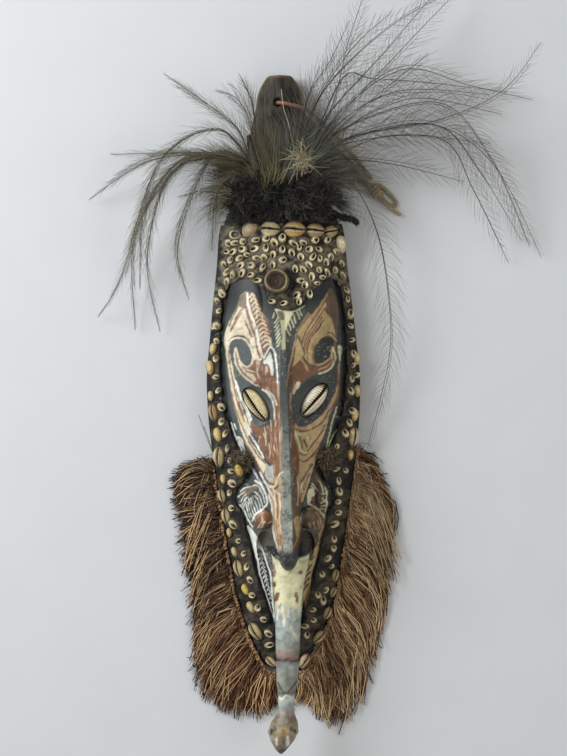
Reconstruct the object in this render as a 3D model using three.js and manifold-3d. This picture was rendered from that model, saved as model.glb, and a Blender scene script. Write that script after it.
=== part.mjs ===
// Long-nosed spirit mask: carved wood, a shell-set paste rim, feather tufts and a fibre fringe.
// Millimetres, +Z up. The mask lies on its back: +Y runs to the hanging tab, +Z out of the face.
// While it is being made, "along" is measured from the beak's tip and "across" from the middle line.

import * as THREE from 'three';
import { mergeVertices } from 'three/addons/utils/BufferGeometryUtils.js';
import Module from 'manifold-3d';

const wasm = await Module();
wasm.setup();

// Driving dimensions, in millimetres

const fitGap = 0.35;
const seatGap = 0.8;
const settleStep = 0.3;
// How far a cut solid may move from its exact shape where its facets are thinned out
const thinning = { wood: 0.35, pasteBed: 0.5, paste: 0.3, fur: 0.4, feather: 0.3, fine: 0.2 };
const maskLength = 645;
const boardFoot = 76;
const tabLift = 6;
const hangingHole = { across: -1.8, along: 618.5, radius: 3.4, mouth: 7 };

const plateRise = 6;
const plateShoulder = 3.5;
const grooveDepth = 3.5;
const grooveWidth = 1.9;

const pasteSide = 3;
const pasteRise = 2;
const pasteTopEdge = 503.5;
const pasteInset = 3.8;

const hollow = { foot: 132, top: 484, wall: 11, roof: 12 };
const eyes = [
  { name: 'eye_left', across: -25, along: 330.6, turn: 37, length: 36 },
  { name: 'eye_right', across: 27.5, along: 334, turn: -40, length: 38 },
];
const nostrilWings = { across: 22.5, along: 223, width: 9.5, length: 10.5, rise: 11 };
const mouthHollows = { across: 19, along: 196, width: 8.5, length: 15, rise: -9 };
const cheekFans = { across: 37, along: 243, width: 8, length: 16, rise: 4 };
const browLobes = { across: 36, along: 425, width: 17, length: 30, rise: 2.5 };
const eyeHollow = { width: 15, length: 20, depth: 5 };
const cheekFall = 4;
const earLumps = [
  { across: -41, along: 277, radius: 9.5, rise: 10 },
  { across: 42.5, along: 279, radius: 10.5, rise: 12 },
];
// The chin plate narrows to the neck, which carries the bird's head past the board:
// [along, across, z, half width, half height]
const neckStations = [
  [187, 3.4, 37, 19, 11], [178, 3.6, 38.5, 18.6, 12], [165, 3, 41, 17, 12.5],
  [150, 2.4, 43, 14.6, 12.5], [136, 1.8, 44.5, 12.8, 12], [122, 1.4, 45.5, 12, 11.6],
  [105, 1, 46.5, 11.4, 11], [93, 0.7, 47, 11, 10.8], [90.5, 0.7, 47, 10.2, 10],
  [88, 0.6, 47, 10.9, 10.6], [74, 0, 47.5, 10.2, 10], [58, -0.8, 48, 8.4, 8.4],
  [42, -1.2, 48, 7.2, 7.4], [36, -2, 48.5, 9, 8.6], [30, -3.2, 49.5, 12.4, 10.2],
  [23, -4.2, 50, 13.2, 10.8], [14, -5.2, 49.2, 10.6, 9.4], [6.5, -6.2, 47.4, 6.6, 6.2],
  [1.2, -6.7, 45.6, 2.6, 2.6], [0, -6.7, 45.2, 1, 1],
];
const birdEyes = { across: -4.4, apart: 21.2, along: 22.5, z: 53, radius: 4.4 };
const disc = { across: -4.9, along: 446.5, radius: 11.8, rise: 8, bore: 6.4, dish: 4.5 };
const lostDisc = { across: 10, along: 449, radius: 7.5 };

const cowrieShape = { wide: 0.34, high: 0.3, foot: 0.15, slitCrest: 0.82 };
// The eyes are a longer, slimmer kind
const eyeShape = { ...cowrieShape, wide: 0.23, high: 0.2 };
const nassa = { width: 6.2, length: 8.4, rise: 2.6 };
const nassaPitch = { across: 12, rows: 9.6, rim: 15 };
const nassaField = { top: 486, rows: 6, half: 57, rimTop: 437, rimFoot: 100, rimOut: 9.5 };
const hemNassas = [[-8.5, 427.5], [2.5, 425.5], [15, 428]];

const cordDiameter = 4;
// The cord's two runs, by hand: out of the hole, over or under the tab, down to the ground, to the knot
const frontRun = [
  [-2.2, 618.6, 17.5], [-1.9, 618.5, 21.5], [-0.4, 618.1, 26], [3.4, 617.2, 28.9], [9, 615.9, 29.6],
  [17, 613.9, 28], [25, 611, 24.6], [33, 605.5, 19], [41, 598.5, 12.6], [50, 589.5, 6.8], [60, 579.5, 3.5],
  [70, 568.8, 2.5], [80, 556.5, 2.6], [87.6, 545.5, 4.2],
];
const backRun = [
  [-2.2, 618.6, 14], [-1.7, 618.4, 10], [0.6, 617.6, 5.3], [5, 616.2, 2.9], [12, 613.8, 2.4],
  [20, 609.5, 2.4], [29, 602, 2.4], [38, 592.5, 2.4], [47, 582.5, 2.4], [57, 572.3, 2.4], [67, 561.8, 2.4],
  [76, 551, 2.6], [83.6, 541.3, 4],
];
const knotAt = [91.5, 533.5, 6.2];
const knotReach = [7, 11.5, 5.8];
const knotLoop = [
  [94, 541, 5], [101, 535, 3.8], [107.5, 528, 2.9], [111, 522.5, 2.4], [108.5, 518.8, 2.4],
  [103.5, 521.5, 2.6], [98, 527, 3.6], [93, 531, 5],
];
const knotTail = [[94, 528, 5], [100, 522, 7.2], [106.5, 516.4, 6.6], [114.5, 511, 2.6]];
const knotTag = [[88, 534.5, 5], [81.5, 539.5, 3], [74, 546.5, 2.4], [69.5, 551.5, 2.4]];

// Feathers: the tip's height, how high the quill arches, and its route [across, along]
const quill = { root: 41, width: 4.6, thickness: 1.3, steps: 4 };
const leftFeathers = [
  { tip: 34, lift: 12, route: [[-29, 558], [-40, 591], [-70, 616], [-110, 646]] },
  { tip: 44, lift: 8, route: [[-23, 571], [-26, 614], [-38, 643]] },
  { tip: 30, lift: 14, route: [[-25, 572], [-29, 599], [-42, 621], [-61, 630]] },
  { tip: 6, lift: 30, route: [[-27, 558], [-60, 590], [-115, 559], [-153, 453], [-178, 416]] },
  { tip: 12, lift: 20, route: [[-27, 556], [-46, 566], [-74, 570], [-163, 572]] },
  { tip: 8, lift: 26, route: [[-27, 557], [-53, 562], [-91, 567], [-134, 559], [-185, 529]] },
  { tip: 7, lift: 32, route: [[-29, 557], [-62, 566], [-98, 559], [-130, 514], [-137, 443]] },
  { tip: 6, lift: 22, route: [[-27, 557], [-56, 562], [-91, 560], [-139, 496], [-142, 403]] },
  { tip: 7, lift: 28, route: [[-27, 557], [-62, 564], [-105, 548], [-128, 472], [-118, 401]] },
  { tip: 9, lift: 18, route: [[-29, 560], [-57, 570], [-77, 545], [-99, 481], [-90, 432]] },
  { tip: 14, lift: 10, route: [[-33, 557], [-52, 545], [-63, 524], [-67, 478]] },
  { tip: 24, lift: 6, route: [[-33, 557], [-56, 541], [-81, 533], [-97, 530]] },
];
const rightFeathers = [
  { tip: 52, lift: 14, route: [[18, 556], [25, 616], [47, 652], [67, 692]] },
  { tip: 44, lift: 10, route: [[17, 556], [22, 605], [38, 650]] },
  { tip: 38, lift: 22, route: [[20, 556], [49, 611], [66, 674], [85, 728]] },
  { tip: 40, lift: 26, route: [[18, 556], [30, 605], [66, 661], [107, 701]] },
  { tip: 30, lift: 30, route: [[20, 556], [38, 619], [99, 680], [165, 722]] },
  { tip: 44, lift: 18, route: [[22, 556], [43, 600], [99, 661], [148, 718]] },
  { tip: 22, lift: 24, route: [[24, 556], [47, 591], [121, 670], [174, 726]] },
  { tip: 48, lift: 12, route: [[24, 556], [62, 596], [114, 638], [141, 660]] },
  { tip: 8, lift: 34, route: [[25, 556], [57, 605], [117, 644], [181, 630], [243, 620]] },
  { tip: 16, lift: 28, route: [[22, 556], [59, 636], [88, 636], [142, 633], [218, 627]] },
  { tip: 12, lift: 24, route: [[26, 556], [57, 596], [114, 626], [202, 625]] },
  { tip: 10, lift: 20, route: [[26, 556], [66, 593], [114, 616], [151, 618], [213, 606]] },
  { tip: 6, lift: 30, route: [[26, 556], [62, 591], [150, 613], [201, 560], [239, 479]] },
  { tip: 6, lift: 26, route: [[28, 555], [66, 581], [143, 593], [203, 555], [250, 468]] },
  { tip: 7, lift: 22, route: [[28, 555], [66, 577], [151, 580], [183, 532], [218, 463]] },
  { tip: 6, lift: 34, route: [[28, 555], [68, 580], [147, 591], [189, 548], [232, 483]] },
  { tip: 60, lift: 20, route: [[28, 555], [66, 581], [149, 595], [209, 622], [246, 668]] },
  { tip: 12, lift: 16, route: [[28, 555], [66, 572], [114, 585], [202, 578]] },
  { tip: 16, lift: 10, route: [[30, 556], [61, 562], [113, 556], [176, 541]] },
  { tip: 10, lift: 14, route: [[30, 556], [66, 540], [90, 494], [101, 430], [101, 372], [80, 287]] },
];
const leftRoot = [[-22, 552.5, 41], [-28, 575, 43], [-33, 600, 45], [-36, 622, 46]];
const rightRoot = [[16, 552.5, 42], [22, 577, 44], [28, 602, 46], [33, 622, 48]];
const rootRadius = [10.5, 9, 6, 2.2];

const fur = { across: 1.5, along: 529, z: 33, reach: [56, 21.5, 25] };
const furStub = [[38, 518, 32], [57, 508, 29], [68, 506, 27.5], [73, 501, 26]];

const fringeHeel = [[19.5, 75.5], [9, 72], [0.6, 71]];
// The fringe's outer edge, from the top of each strip down to the beak: [across, along]
const fringe = { top: 284, floor: 0.6, headZ: 10, tipZ: 5, locks: 11, notch: 3.5, gap: 0.6 };
const leftFringeEdge = [
  [-77, 286], [-104, 268], [-109, 249], [-105, 220], [-100, 182], [-93, 144], [-90, 97], [-86, 59],
  [-70, 42], [-48, 32], [-24, 29], [-8, 33],
];
const rightFringeEdge = [
  [76, 287], [92, 268], [102, 235], [103, 197], [101, 163], [94, 130], [85, 97], [79, 66], [70, 44],
  [54, 23], [38, 20], [24, 36], [8, 42],
];

// Sizes that change along the mask: [along, value]

const boardHalf = profile([
  [76, 13], [80, 18], [90, 24.5], [106, 31.5], [144, 43.5], [182, 50.5], [220, 56.5], [268, 63.5],
  [296, 67.5], [325, 70], [353, 70.8], [391, 67.5], [439, 62.5], [466, 59.5], [491, 57.5], [505, 54.5],
  [522, 47], [545, 37], [572, 32.3], [591, 28.5], [610, 24.2], [629, 20.4], [638, 16], [643, 12.5],
  [645, 10.5],
]);
const faceHalf = profile([
  [112, 9.5], [123.5, 11.8], [133, 13.5], [147, 18], [163.5, 23.5], [184, 28.8], [201, 31.7],
  [214, 35.5], [222, 36.5], [229, 38.5], [236, 43.5], [247, 43.5], [257, 36.5], [264, 33], [272, 31.5],
  [280, 35], [291, 42.5], [311, 49.5], [322, 53], [347, 56], [370, 57.3], [395, 57], [415, 56],
  [427.5, 54], [447, 50], [475, 46], [500, 40],
]);
const crownHeight = profile([
  [76, 13], [100, 20], [124, 27], [150, 33], [180, 38], [214, 43], [250, 47], [300, 50], [350, 51],
  [400, 50], [440, 46], [475, 41], [500, 36], [520, 31], [545, 28], [600, 27], [645, 24],
]);
const rimHeight = profile([
  [76, 7], [110, 9], [180, 11], [300, 13], [440, 13], [500, 14], [530, 15], [560, 20], [645, 18],
]);
const noseRise = profile([
  [172, 0], [174, 13], [176, 21], [179.5, 29], [184, 32], [195, 33], [215, 29], [250, 22], [300, 14], [350, 8],
  [390, 3], [405, 0],
]);
const noseFoot = profile([
  [172, 3], [176, 8], [179.5, 10], [184, 11], [200, 13], [214, 14.5], [233, 16], [250, 16], [300, 13],
  [350, 10], [380, 8], [405, 5],
]);
// The forehead paste's lower edge: [across, along]
const pasteHem = profile([
  [-64, 425], [-58, 432], [-50, 445], [-36, 449.5], [-19, 439], [-12, 426.5], [-7, 421.8], [2.4, 419.4],
  [14, 421.8], [20.5, 427.5], [25, 434.6], [33, 441], [41, 446.5], [49, 449], [56, 441], [64, 430],
]);

// Small shared maths

function profile(points) {
  const chord = points.slice(1).map(([x, y], i) => (y - points[i][1]) / (x - points[i][0]));
  const slope = points.map((point, i) => {
    if (i === 0) return chord[0];
    if (i === chord.length) return chord[chord.length - 1];
    const [a, b] = [chord[i - 1], chord[i]];
    return a * b <= 0 ? 0 : (2 * a * b) / (a + b);
  });
  return (x) => {
    if (x <= points[0][0]) return points[0][1];
    let i = 0;
    while (i < points.length - 2 && x > points[i + 1][0]) i += 1;
    const [[x0, y0], [x1, y1]] = [points[i], points[i + 1]];
    if (x >= x1) return y1;
    const span = x1 - x0;
    const t = (x - x0) / span;
    const rise = t * t * (3 - 2 * t);
    const lead = t * (1 - t) * (1 - t) * slope[i] - t * t * (1 - t) * slope[i + 1];
    return y0 + (y1 - y0) * rise + lead * span;
  };
}

function smooth(x) {
  const t = Math.min(1, Math.max(0, x));
  return t * t * (3 - 2 * t);
}

function dome(across, along, spot, width, length) {
  const reach = ((across - spot.across) / width) ** 2 + ((along - spot.along) / length) ** 2;
  return Math.sqrt(Math.max(0, 1 - reach));
}

// A repeatable stand-in for chance, from 0 to 1
function scatter(seed) {
  const wave = Math.sin(seed * 127.1 + 11.7) * 43758.5453;
  return wave - Math.floor(wave);
}

// The carved surface

function noseSway(along) {
  return 2.8 * smooth((330 - along) / 150) * smooth((along - 120) / 40);
}

function archHeight(across, along) {
  const t = Math.min(1, Math.abs(across) / boardHalf(along));
  const rim = rimHeight(along);
  return rim + (crownHeight(along) - rim) * (1 - t ** 2.3);
}

function plateHeight(across, along) {
  const inside = faceHalf(along) - Math.abs(across);
  const ends = smooth((along - 112) / 14) * smooth((476 - along) / 30);
  const groove = Math.exp(-(((inside + 2) / grooveWidth) ** 2));
  return ends * (plateRise * smooth(inside / plateShoulder) - grooveDepth * groove);
}

function featureHeight(across, along) {
  const shift = Math.abs(across - noseSway(along));
  const foot = noseFoot(along);
  let height = noseRise(along) * (1 - smooth((shift - 0.3 * foot) / (0.7 * foot)));
  const { depth, width, length } = eyeHollow;
  for (const eye of eyes) height -= depth * dome(across, along, eye, width, length) ** 2;
  for (const pair of [nostrilWings, mouthHollows, cheekFans, browLobes]) {
    for (const side of [-1, 1]) {
      const spot = { across: side * pair.across, along: pair.along };
      height += pair.rise * dome(across, along, spot, pair.width, pair.length);
    }
  }
  return height;
}

function woodHeight(across, along) {
  const inside = smooth((faceHalf(along) - Math.abs(across)) / 4);
  const cheek = cheekFall * smooth((300 - along) / 60) * smooth((Math.abs(across) - 12) / 20) * inside;
  return archHeight(across, along) + plateHeight(across, along) + featureHeight(across, along) - cheek;
}

function pasteHeight(across, along) {
  const hug = archHeight(across, along) + pasteRise;
  const onPlate = along > 400 && Math.abs(across) < faceHalf(along) + pasteInset;
  if (!onPlate) return hug;
  return Math.max(hug, woodHeight(across, along) + 2.2);
}

// The paste with its ear lumps
function rimTopHeight(across, along) {
  const lumps = earLumps.map((lump) => lump.rise * dome(across, along, lump, lump.radius, lump.radius));
  return pasteHeight(across, along) + Math.max(...lumps);
}

// Closed solids from points

function meshOf(points, faces) {
  const geometry = new THREE.BufferGeometry();
  geometry.setAttribute('position', new THREE.Float32BufferAttribute(points.flat(), 3));
  geometry.setIndex(faces.flat());
  return geometry;
}

function solidOf(geometry) {
  const bare = geometry.clone();
  bare.deleteAttribute('normal');
  bare.deleteAttribute('uv');
  const merged = mergeVertices(bare, 1e-4);
  return new wasm.Manifold(new wasm.Mesh({
    numProp: 3,
    vertProperties: new Float32Array(merged.attributes.position.array),
    triVerts: new Uint32Array(merged.index.array),
  }));
}

function geometryOf(solid) {
  const mesh = solid.getMesh();
  const geometry = new THREE.BufferGeometry();
  geometry.setAttribute('position', new THREE.BufferAttribute(mesh.vertProperties, 3));
  geometry.setIndex(new THREE.BufferAttribute(mesh.triVerts, 1));
  return geometry;
}

function cutBy(solid, tools) {
  return tools.reduce((rest, tool) => rest.subtract(tool), solid);
}

function joined(solids) {
  return solids.reduce((whole, next) => whole.add(next));
}

function placed(geometry, position, turn = [0, 0, 0]) {
  const place = new THREE.Matrix4().makeRotationFromEuler(new THREE.Euler(...turn));
  place.setPosition(...position);
  return geometry.clone().applyMatrix4(place);
}

// A slab with a shaped top: each row is a line of [across, z], above a flat underside
function slab(rows, lineAt, underAt) {
  const points = [];
  const faces = [];
  const lines = rows.map((along) => lineAt(along));
  const width = lines[0].length;
  lines.forEach((line, i) => line.forEach(([across, z]) => points.push([across, rows[i], z])));
  const top = (i, j) => i * width + j;
  const under = (i, side) => rows.length * width + i * 2 + side;
  lines.forEach((line, i) => {
    const z = underAt(rows[i]);
    points.push([line[0][0], rows[i], z], [line[width - 1][0], rows[i], z]);
  });
  const last = width - 1;
  for (let i = 0; i < rows.length - 1; i += 1) {
    for (let j = 0; j < last; j += 1) {
      const [a, b, c, d] = [top(i, j), top(i, j + 1), top(i + 1, j + 1), top(i + 1, j)];
      faces.push([a, b, c], [a, c, d]);
    }
    const [left, leftNext] = [under(i, 0), under(i + 1, 0)];
    const [right, rightNext] = [under(i, 1), under(i + 1, 1)];
    faces.push([left, leftNext, rightNext], [left, rightNext, right]);
    faces.push([top(i, 0), top(i + 1, 0), leftNext], [top(i, 0), leftNext, left]);
    faces.push([top(i + 1, last), top(i, last), right], [top(i + 1, last), right, rightNext]);
  }
  const end = rows.length - 1;
  for (let j = 0; j < last; j += 1) {
    faces.push([top(0, j + 1), top(0, j), under(0, 0)]);
    faces.push([top(end, j), top(end, j + 1), under(end, 0)]);
  }
  faces.push([under(0, 1), top(0, last), under(0, 0)]);
  faces.push([top(end, last), under(end, 1), under(end, 0)]);
  return meshOf(points, faces);
}

// A closed body through rings that all have the same number of points
function loft(rings) {
  const sides = rings[0].length;
  const faces = [];
  for (let i = 0; i < rings.length - 1; i += 1) {
    for (let k = 0; k < sides; k += 1) {
      const [a, b] = [i * sides + k, i * sides + ((k + 1) % sides)];
      faces.push([a, b + sides, a + sides], [a, b, b + sides]);
    }
  }
  for (let k = 1; k < sides - 1; k += 1) {
    const end = (rings.length - 1) * sides;
    faces.push([0, k + 1, k], [end, end + k, end + k + 1]);
  }
  return meshOf(rings.flat(), faces);
}

// A body round the middle line through stations of [along, across, z, half width, half height]
function roundBody(stations, sides) {
  return loft(stations.map(([along, across, z, wide, high]) => {
    const ring = [];
    for (let k = 0; k < sides; k += 1) {
      const angle = (2 * Math.PI * k) / sides;
      ring.push([across + wide * Math.cos(angle), along, z + high * Math.sin(angle)]);
    }
    return ring;
  }));
}

// A tapering strand along a route: the section's points are [to the side, up], scaled by sizeAt
function strand(route, section, sizeAt, steps) {
  const path = new THREE.CatmullRomCurve3(route.map((p) => new THREE.Vector3(...p)), false, 'centripetal');
  const up = new THREE.Vector3(0, 0, 1);
  const rings = [];
  for (let i = 0; i <= steps; i += 1) {
    const at = path.getPointAt(i / steps);
    const run = path.getTangentAt(i / steps);
    const side = new THREE.Vector3().crossVectors(run, up).normalize();
    const rise = new THREE.Vector3().crossVectors(side, run);
    const size = sizeAt(i / steps);
    rings.push(section.map(([x, y]) => at.clone().addScaledVector(side, -x * size)
      .addScaledVector(rise, y * size).toArray()));
  }
  return loft(rings);
}

// A round tube along hand-picked points
function tube(route, diameter, steps, sides) {
  const path = new THREE.CatmullRomCurve3(route.map((p) => new THREE.Vector3(...p)), false, 'centripetal');
  const outline = [];
  for (let k = 0; k < sides; k += 1) {
    const angle = (2 * Math.PI * k) / sides;
    outline.push(new THREE.Vector2(Math.cos(angle), Math.sin(angle)).multiplyScalar(diameter / 2));
  }
  const geometry = new THREE.ExtrudeGeometry(new THREE.Shape(outline), { steps, extrudePath: path });
  return geometry;
}

// The wood

const rowStep = 15;

function rowsBetween(from, to, step, extra = []) {
  const count = Math.max(1, Math.round((to - from) / step));
  const rows = [];
  for (let i = 0; i <= count; i += 1) rows.push(from + ((to - from) * i) / count);
  for (const along of extra) rows.push(along);
  return [...new Set(rows)].sort((a, b) => a - b);
}

function woodColumns(along, grow) {
  const half = boardHalf(along) + grow;
  const face = Math.min(faceHalf(along), half - 6);
  const foot = Math.min(noseFoot(along), face * 0.45);
  const band = half - face;
  return [
    foot * 0.3, foot * 0.9, foot + (face - foot) * 0.36, foot + (face - foot) * 0.7, face - 2.6, face + 0.2,
    face + Math.min(2.2, band * 0.3), face + band * 0.6, half,
  ];
}

function woodLine(along, grow) {
  const right = woodColumns(along, grow);
  const line = [...right.map((x) => -x).reverse(), ...right];
  const sway = noseSway(along);
  const face = faceHalf(along);
  return line.map((x) => {
    const moved = x + sway * smooth((face - Math.abs(x)) / face);
    const height = woodHeight(moved, along);
    return [moved, height + grow];
  });
}

function boardBody(grow) {
  const foot = boardFoot - grow;
  const rows = [
    ...rowsBetween(foot, 168, rowStep),
    ...rowsBetween(172, 196, 12, [176, 179.5]),
    ...rowsBetween(206, 466, rowStep),
    ...rowsBetween(484, maskLength + grow, 26, [640]),
  ];
  const back = (along) => tabLift * smooth((along - 520) / 20) - grow * 2;
  return solidOf(slab(rows, (along) => woodLine(along, grow), back));
}

function hollowBody() {
  const rows = rowsBetween(hollow.foot, hollow.top, 27);
  const shares = [-1, -0.88, -0.6, -0.25, 0.25, 0.6, 0.88, 1];
  const roofAt = (share, along) => {
    const ends = smooth((along - hollow.foot) / 45) * smooth((hollow.top - along) / 45);
    return 2 + (crownHeight(along) - hollow.roof - 2) * (1 - Math.abs(share) ** 2.6) * ends;
  };
  const lineAt = (along) => {
    const half = boardHalf(along) - hollow.wall;
    return shares.map((share) => [share * half, roofAt(share, along)]);
  };
  return solidOf(slab(rows, lineAt, () => -5));
}

function neckAndBird() {
  const { radius, apart, along, z } = birdEyes;
  const bulge = new THREE.SphereGeometry(radius, 7, 5);
  const bulges = [-0.5, 0.5].map((share) => {
    const across = birdEyes.across + share * apart;
    return solidOf(placed(bulge, [across, along, z]));
  });
  return joined([solidOf(roundBody(neckStations, 10)), ...bulges]);
}

// The socket cut for an eye shell, a little larger than the shell and flat below
function eyeSocket(eye) {
  const sides = 10;
  const spread = (1 / Math.cos(Math.PI / sides)) * (1 + 2 * seatGap / eye.length);
  const wide = eyeShape.wide * 1.08 * eye.length * spread;
  const cup = new THREE.CylinderGeometry(1, 1, 20, sides).rotateX(Math.PI / 2);
  cup.translate(0, 0, 10 - seatGap).scale(wide, 0.5 * eye.length * spread, 1);
  return solidOf(cup.applyMatrix4(seatMatrix(eye.across, eye.along, eye.turn, 0, woodHeight)));
}

// The hanging hole, worn wider by the cord at both mouths
function hangingDrill() {
  const { radius, mouth, across, along } = hangingHole;
  const back = tabLift;
  const front = archHeight(across, along);
  const outline = [
    [0, back - 10], [mouth, back - 10], [mouth, back], [radius, back + 4], [radius, front - 4.5],
    [mouth, front + 1], [mouth, front + 10], [0, front + 10],
  ];
  const lathe = new THREE.LatheGeometry(outline.map(([x, y]) => new THREE.Vector2(x, y)), 12);
  return solidOf(placed(lathe, [across, along, 0], [Math.PI / 2, 0, 0]));
}

function maskWood() {
  const body = boardBody(0).add(neckAndBird());
  return cutBy(body, [hollowBody(), hangingDrill(), ...eyes.map(eyeSocket)]).simplify(thinning.wood);
}

// Shells

// A cowrie on its flat side: its foot is at z = 0, so it stands on what it is set in
function cowrieGeometry(length, slitUp, sides, rings, { wide, high, foot, slitCrest } = cowrieShape) {
  const geometry = mergeVertices(bareSphere(sides, rings), 1e-4);
  const at = geometry.attributes.position;
  const spot = new THREE.Vector3();
  for (let i = 0; i < at.count; i += 1) {
    spot.fromBufferAttribute(at, i);
    const taper = 1 + 0.14 * spot.y;
    const crest = slitUp ? slitCrest : 1;
    const z = Math.min(Math.max(spot.z, -foot), crest) + foot;
    at.setXYZ(i, spot.x * wide * length * taper, spot.y * 0.5 * length, z * high * length * taper);
  }
  return geometry;
}

function bareSphere(sides, rings) {
  const sphere = new THREE.SphereGeometry(1, sides, rings);
  sphere.deleteAttribute('normal');
  sphere.deleteAttribute('uv');
  return sphere;
}

// A shell laid on a surface: its foot tips with the ground under it
function seatMatrix(across, along, turn, lift, heightAt) {
  const step = 3;
  const slopeX = (heightAt(across + step, along) - heightAt(across - step, along)) / (2 * step);
  const slopeY = (heightAt(across, along + step) - heightAt(across, along - step)) / (2 * step);
  const normal = new THREE.Vector3(-slopeX, -slopeY, 1).normalize();
  const lean = new THREE.Quaternion().setFromUnitVectors(new THREE.Vector3(0, 0, 1), normal);
  const spin = new THREE.Quaternion().setFromAxisAngle(new THREE.Vector3(0, 0, 1), (turn * Math.PI) / 180);
  const place = new THREE.Vector3(across, along, heightAt(across, along)).addScaledVector(normal, lift);
  return new THREE.Matrix4().compose(place, lean.multiply(spin), new THREE.Vector3(1, 1, 1));
}

// A shell lifted until it just clears the ground it sits on
function settled(shape, ground) {
  let shell = solidOf(shape).simplify(thinning.fine);
  while (shell.intersect(ground).volume() > 0) shell = shell.translate([0, 0, settleStep]);
  return shell.translate([0, 0, fitGap]);
}

// Cowries along the brow and the rim: [across, along, length, turn, slit up]
const browCowries = [
  [-44, 492, 12, 80, false], [-30, 498.5, 16.5, -35, false], [-10.3, 497.5, 19, 90, true],
  [12.5, 496.8, 21.5, 90, true], [32, 495.5, 17, 90, true], [46, 495, 13, 105, true],
  [56.5, 482.5, 17.5, 10, false],
];
const leftCowries = [
  [-66.5, 384, 12, -15, false], [-69.8, 366, 14, 5, false], [-69.5, 339, 10, 0, false],
  [-66.5, 323, 17, 12, true], [-62.8, 302, 14, 12, false], [-61.5, 280.5, 20, 0, true],
  [-42.6, 269, 13, 5, false], [-58.5, 259.5, 9.5, 5, false], [-60, 243, 13.5, 12, true],
  [-56, 223.5, 15.5, 10, true], [-53.5, 208, 9, 5, false], [-48.5, 189.5, 10, 20, false],
  [-44.5, 173.5, 17, 15, true], [-38.5, 153.5, 11.5, 25, false], [-33.5, 136.5, 12, 30, false],
  [-29, 113, 19, 35, true], [-14.8, 83.5, 13.5, 50, true],
];
const rightCowries = [
  [71, 373, 12, -5, false], [70.5, 342, 12, 0, false], [67.5, 318.7, 12, -10, false],
  [65.5, 298, 19, -3, true], [62.8, 281, 10, 0, false], [46.8, 165.5, 12.5, -12, true],
  [44.5, 149.5, 11, -20, true], [38.7, 129.5, 13.5, -22, true], [30.2, 106.5, 15.5, -42, true],
  [16, 84, 16, -28, true],
];

function cowrieSet(prefix, list, ground) {
  return list.map(([across, along, length, turn, slitUp], i) => {
    const matrix = seatMatrix(across, along, turn, 0, rimTopHeight);
    const shape = cowrieGeometry(length, slitUp, prefix === 'brow_cowrie' ? 7 : 6, 4).applyMatrix4(matrix);
    return { name: `${prefix}_${i + 1}`, shape: settled(shape, ground) };
  });
}

// The small shells: rows across the forehead and a file down each side of the rim
function nassaPlaces() {
  const { top, rows, half, rimTop, rimFoot, rimOut } = nassaField;
  const places = [...hemNassas];
  const count = Math.floor(half / nassaPitch.across);
  for (let row = 0; row < rows; row += 1) {
    for (let k = -count; k <= count; k += 1) {
      const across = (k + (row % 2) / 2) * nassaPitch.across + 2 * (scatter(row * 31 + k) - 0.5);
      const along = top - row * nassaPitch.rows + 2 * (scatter(row * 17 + k * 3) - 0.5);
      if (Math.abs(across) < half) places.push([across, along]);
    }
  }
  for (let along = rimTop; along > rimFoot; along -= nassaPitch.rim) {
    for (const side of [-1, 1]) places.push([side * (faceHalf(along) + rimOut), along]);
  }
  return places;
}

function nassaStuds(blocked) {
  const stud = new THREE.OctahedronGeometry(1).scale(nassa.width / 2, nassa.length / 2, nassa.rise);
  const clearOfHem = ([across, along]) => along < 420 || along > pasteHem(across) + 4;
  const clearOf = ([across, along]) => blocked.every((b) => Math.hypot(across - b[0], along - b[1]) > b[2]);
  return nassaPlaces().filter(clearOfHem).filter(clearOf).map(([across, along], i) => {
    const matrix = seatMatrix(across, along, 60 * (scatter(i) - 0.5), -0.4, pasteHeight);
    return solidOf(stud.clone().applyMatrix4(matrix));
  });
}

// The paste

function pasteSlab() {
  const rows = [...rowsBetween(boardFoot + 2, 402, 16), ...rowsBetween(414, pasteTopEdge, 11)];
  const lineAt = (along) => {
    const half = boardHalf(along) + pasteSide;
    const face = Math.min(faceHalf(along), half - 10);
    const band = half - face;
    const right = [0, face * 0.5, face * 0.85, face + band * 0.25, face + band * 0.7, half];
    const line = [...right.slice(1).reverse().map((x) => -x), ...right];
    return line.map((x) => [x, pasteHeight(x, along)]);
  };
  return solidOf(slab(rows, lineAt, () => fitGap / 2));
}

function facePrism() {
  const outline = [];
  for (let along = 120; along < 425; along += 10) outline.push([faceHalf(along) + pasteInset, along]);
  for (let across = 58; across >= -58; across -= 8.3) outline.push([across, pasteHem(across)]);
  for (let along = 420; along >= 120; along -= 10) outline.push([-faceHalf(along) - pasteInset, along]);
  const shape = new THREE.Shape(outline.map(([x, y]) => new THREE.Vector2(x, y)));
  return solidOf(new THREE.ExtrudeGeometry(shape, { depth: 120, bevelEnabled: false }));
}

function shellPaste(room, blocked) {
  const lumps = earLumps.map((lump) => {
    const ball = bareSphere(8, 6).scale(lump.radius, lump.radius, lump.rise);
    return solidOf(placed(ball, [lump.across, lump.along, archHeight(lump.across, lump.along) + 2]));
  });
  const seat = placed(bareSphere(8, 6).scale(lostDisc.radius, 9, 3.5), [
    lostDisc.across, lostDisc.along, pasteHeight(lostDisc.across, lostDisc.along) + 1,
  ]);
  const base = pasteSlab().subtract(facePrism()).subtract(solidOf(seat));
  const bed = boardBody(seatGap).simplify(thinning.pasteBed);
  const whole = joined([base, ...lumps, ...nassaStuds(blocked)]);
  return cutBy(whole, [bed, room]).simplify(thinning.paste);
}

// The shell disc in the forehead

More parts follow.
